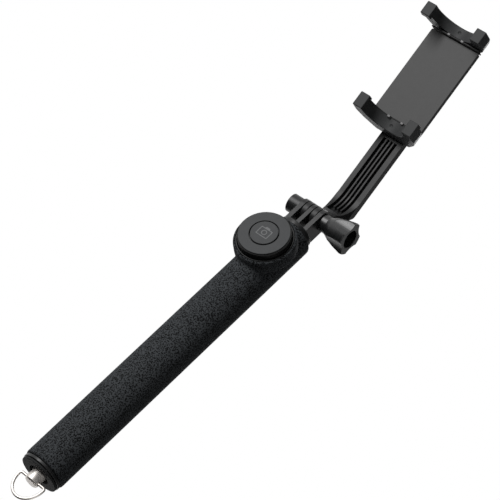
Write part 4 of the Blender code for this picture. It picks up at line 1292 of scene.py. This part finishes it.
        self._nubs(node, level, body)
        hand_over(to_object(f"{node}_facing", facing), body, RUBBER, f"{node}_pad")

    def _nubs(self, node: str, level: float, body: str) -> None:
        """Two small moulded stops on the rim of a jaw's scoop, in a pale grey that is partly a painted
        highlight.

        Args:
            node: Name of the jaw's solid.
            level: Height of the rim.
            body: The body that carries the jaw.
        """
        centre, half, tall = self.nub
        front, back = (self.scoop + self.scoop_centre - depth for depth in self.nub_depth)
        low, high = level - tall / 2, level + tall / 2
        for side, x in (("left", -centre), ("right", centre)):
            stop = brick((x - half, front, low), (x + half, back, high), Place.ARM, EASED)
            hand_over(to_object(f"{node}_stop_{side}", stop), body, NUB_PAINTED_HIGHLIGHT)


@dataclass(frozen=True)
class Lamp:
    """One soft oblong lamp aimed at the middle of the stick."""

    name: str
    place: Point3
    size: Point2
    power: float
    target: Point3 = (0.0, 0.0, 0.08)

    def build(self) -> None:
        """Hang the lamp."""
        light = bpy.data.lights.new(self.name, "AREA")
        light.shape = "RECTANGLE"
        light.size, light.size_y = self.size
        light.energy = self.power
        lamp = stand(self.name, light)
        lamp.location = self.place
        lamp.rotation_euler = (Vector(self.target) - Vector(self.place)).to_track_quat("-Z", "Y").to_euler()


@dataclass(frozen=True)
class Card:
    """One black card bent round the stick: its ends in degrees and its lower and upper edge."""

    start: float
    end: float
    low: float
    high: float


@dataclass
class Studio:
    """Floor, light, world and camera."""

    floor_z: float = -116.0 * MM
    floor_half: float = 25.0
    floor_grey: float = 0.45
    floor_rough: float = 0.9
    floor_glow: float = 0.5
    camera_place: Point3 = (0.5226, -0.9008, -0.3880)
    camera_right: Point3 = (0.7387, 0.0964, 0.6671)
    camera_up: Point3 = (-0.4865, -0.6088, 0.6267)
    sensor: float = 36.0
    lens: float = 154.26
    sky: float = 0.12
    card_black: float = 0.004
    card_rough: float = 0.5
    card_steps: int = 24
    card_radius: float = 1.6
    card_floor: float = -1.2
    cards: tuple[Card, ...] = (Card(-70, 113, -0.1, 2.0), Card(113, 165, 0.58, 0.95),
                               Card(-165, -70, -1.5, -0.35))
    lamps: tuple[Lamp, ...] = (Lamp("key_lamp", (-0.55, -1.36, 0.22), (0.3, 1.0), 15.0),
                               Lamp("back_lamp", (-0.4, 1.2, 0.9), (0.9, 0.9), 8.0),
                               Lamp("rim_lamp", (0.72, 1.2, 0.68), (0.6, 0.6), 0.7))

    def build(self) -> None:
        """Set the whole stage."""
        self._floor()
        self._world()
        self._cards()
        for lamp in self.lamps:
            lamp.build()
        self._camera()
        bpy.context.scene.view_settings.view_transform = "Standard"

    @staticmethod
    def _matt(name: str, tone: float, rough: float) -> bpy.types.Material:
        """A plain matt material of one grey.

        Args:
            name: The material's name.
            tone: Its grey.
            rough: Its roughness.

        Returns:
            The material.
        """
        material = bpy.data.materials.new(name)
        material.use_nodes = True
        feed(material.node_tree, material.node_tree.nodes["Principled BSDF"], {
            "Base Color": (*grey(tone), 1.0), "Roughness": rough, "Specular IOR Level": 0.0})
        return material

    def _floor(self) -> None:
        """A plain pale floor that keeps shadows.

        It is clear from underneath, where the photograph looks from, and throws no light on the stick.
        """
        bm = bmesh.new()
        bmesh.ops.create_grid(bm, x_segments=1, y_segments=1, size=self.floor_half)
        bmesh.ops.translate(bm, verts=bm.verts, vec=(0, 0, self.floor_z))
        floor = to_object("floor", bm)
        material = self._matt("pale_floor", self.floor_grey, self.floor_rough)
        tree = material.node_tree
        matt = tree.nodes["Principled BSDF"]
        seen = add_node(tree, "LightPath", {}).outputs["Is Camera Ray"]
        glow = add_node(tree, "MapRange", {"Value": seen, "To Max": self.floor_glow})
        feed(tree, matt, {"Emission Color": WHITE, "Emission Strength": glow.outputs["Result"]})
        unseen = add_node(tree, "Math", {0: 1.0, 1: seen}, "SUBTRACT")
        under = add_node(tree, "NewGeometry", {}).outputs["Backfacing"]
        gone = add_node(tree, "Math", {0: under, 1: unseen.outputs[0]}, "MAXIMUM")
        clear = add_node(tree, "BsdfTransparent", {})
        mix = add_node(tree, "MixShader", {"Fac": gone.outputs[0], 1: matt.outputs["BSDF"],
                                           2: clear.outputs["BSDF"]})
        feed(tree, tree.nodes["Material Output"], {"Surface": mix.outputs["Shader"]})
        material.cycles.emission_sampling = "NONE"
        floor.data.materials.append(material)

    def _cards(self) -> None:
        """Black cards to the right, behind, low in front and below.

        Only reflections show them, so that edges there stay dark.
        """
        bm = bmesh.new()
        for card in self.cards:
            turn = math.radians(card.start)
            foot = (self.card_radius * math.cos(turn), self.card_radius * math.sin(turn))
            ends = [bm.verts.new((*foot, height)) for height in (card.low, card.high)]
            rail = bm.edges.new(ends)
            bmesh.ops.spin(bm, geom=ends + [rail], cent=(0, 0, 0), axis=(0, 0, 1), dvec=(0, 0, 0),
                           angle=math.radians(card.end - card.start), steps=self.card_steps)
        bmesh.ops.create_circle(bm, cap_ends=True, segments=HOLE_TURN, radius=self.card_radius,
                                matrix=Matrix.Translation((0, 0, self.card_floor)))
        screen = to_object("black_card", bm)
        screen.data.materials.append(self._matt("card_black", self.card_black, self.card_rough))
        screen.visible_camera = False
        screen.visible_diffuse = False
        screen.visible_transmission = False
        screen.visible_shadow = False

    def _world(self) -> None:
        """White where it is seen, through mirrors too, and a soft even light elsewhere."""
        world = bpy.data.worlds.new("studio")
        world.use_nodes = True
        tree = world.node_tree
        rays = add_node(tree, "LightPath", {}).outputs
        seen = add_node(tree, "Math", {0: rays["Is Camera Ray"], 1: rays["Is Glossy Ray"]}, "MAXIMUM")
        either = add_node(tree, "Math", {0: seen.outputs[0], 1: rays["Is Transmission Ray"]}, "MAXIMUM")
        level = add_node(tree, "MapRange", {"Value": either.outputs[0], "To Min": self.sky, "To Max": 1.0})
        feed(tree, tree.nodes["Background"], {"Color": WHITE, "Strength": level.outputs["Result"]})
        bpy.context.scene.world = world

    def _camera(self) -> None:
        """The photograph's viewpoint."""
        right, up = Vector(self.camera_right).normalized(), Vector(self.camera_up).normalized()
        back = right.cross(up).normalized()
        turn = Matrix((right, back.cross(right), back)).transposed().to_4x4()
        data = bpy.data.cameras.new("photo_camera")
        data.sensor_width = self.sensor
        data.lens = self.lens
        data.clip_start = 0.01
        camera = stand("photo_camera", data)
        camera.matrix_world = Matrix.Translation(self.camera_place) @ turn
        bpy.context.scene.camera = camera


def dress_plain_nodes() -> None:
    """Give the solids that stay, most of them hidden inside, the finish of their slot."""
    plain = (FOAM, SATIN, SHELL, BLACK, RUBBER, NYLON, STEEL, ALLOY, BRASS, BOARD)
    finishes = {finish.slot: finish for finish in plain}
    slots = {part["node"]: part["material_slot"] for part in frame["record"]["subparts"]}
    for name, node in frame["nodes"].items():
        node.data.materials.clear()
        node.data.materials.append(finishes[slots[name]].material())


def main() -> None:
    """Build the stick and its studio."""
    logging.basicConfig(level=logging.INFO, format="%(message)s")
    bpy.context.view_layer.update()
    dress_plain_nodes()
    for kind in (Grip, LowerEnd, Telescope, Remote, HingeHead, PhoneArm, PhoneClamp, Studio):
        LOG.info("building %s", kind.__name__)
        kind().build()


if __name__ == "__main__":
    main()
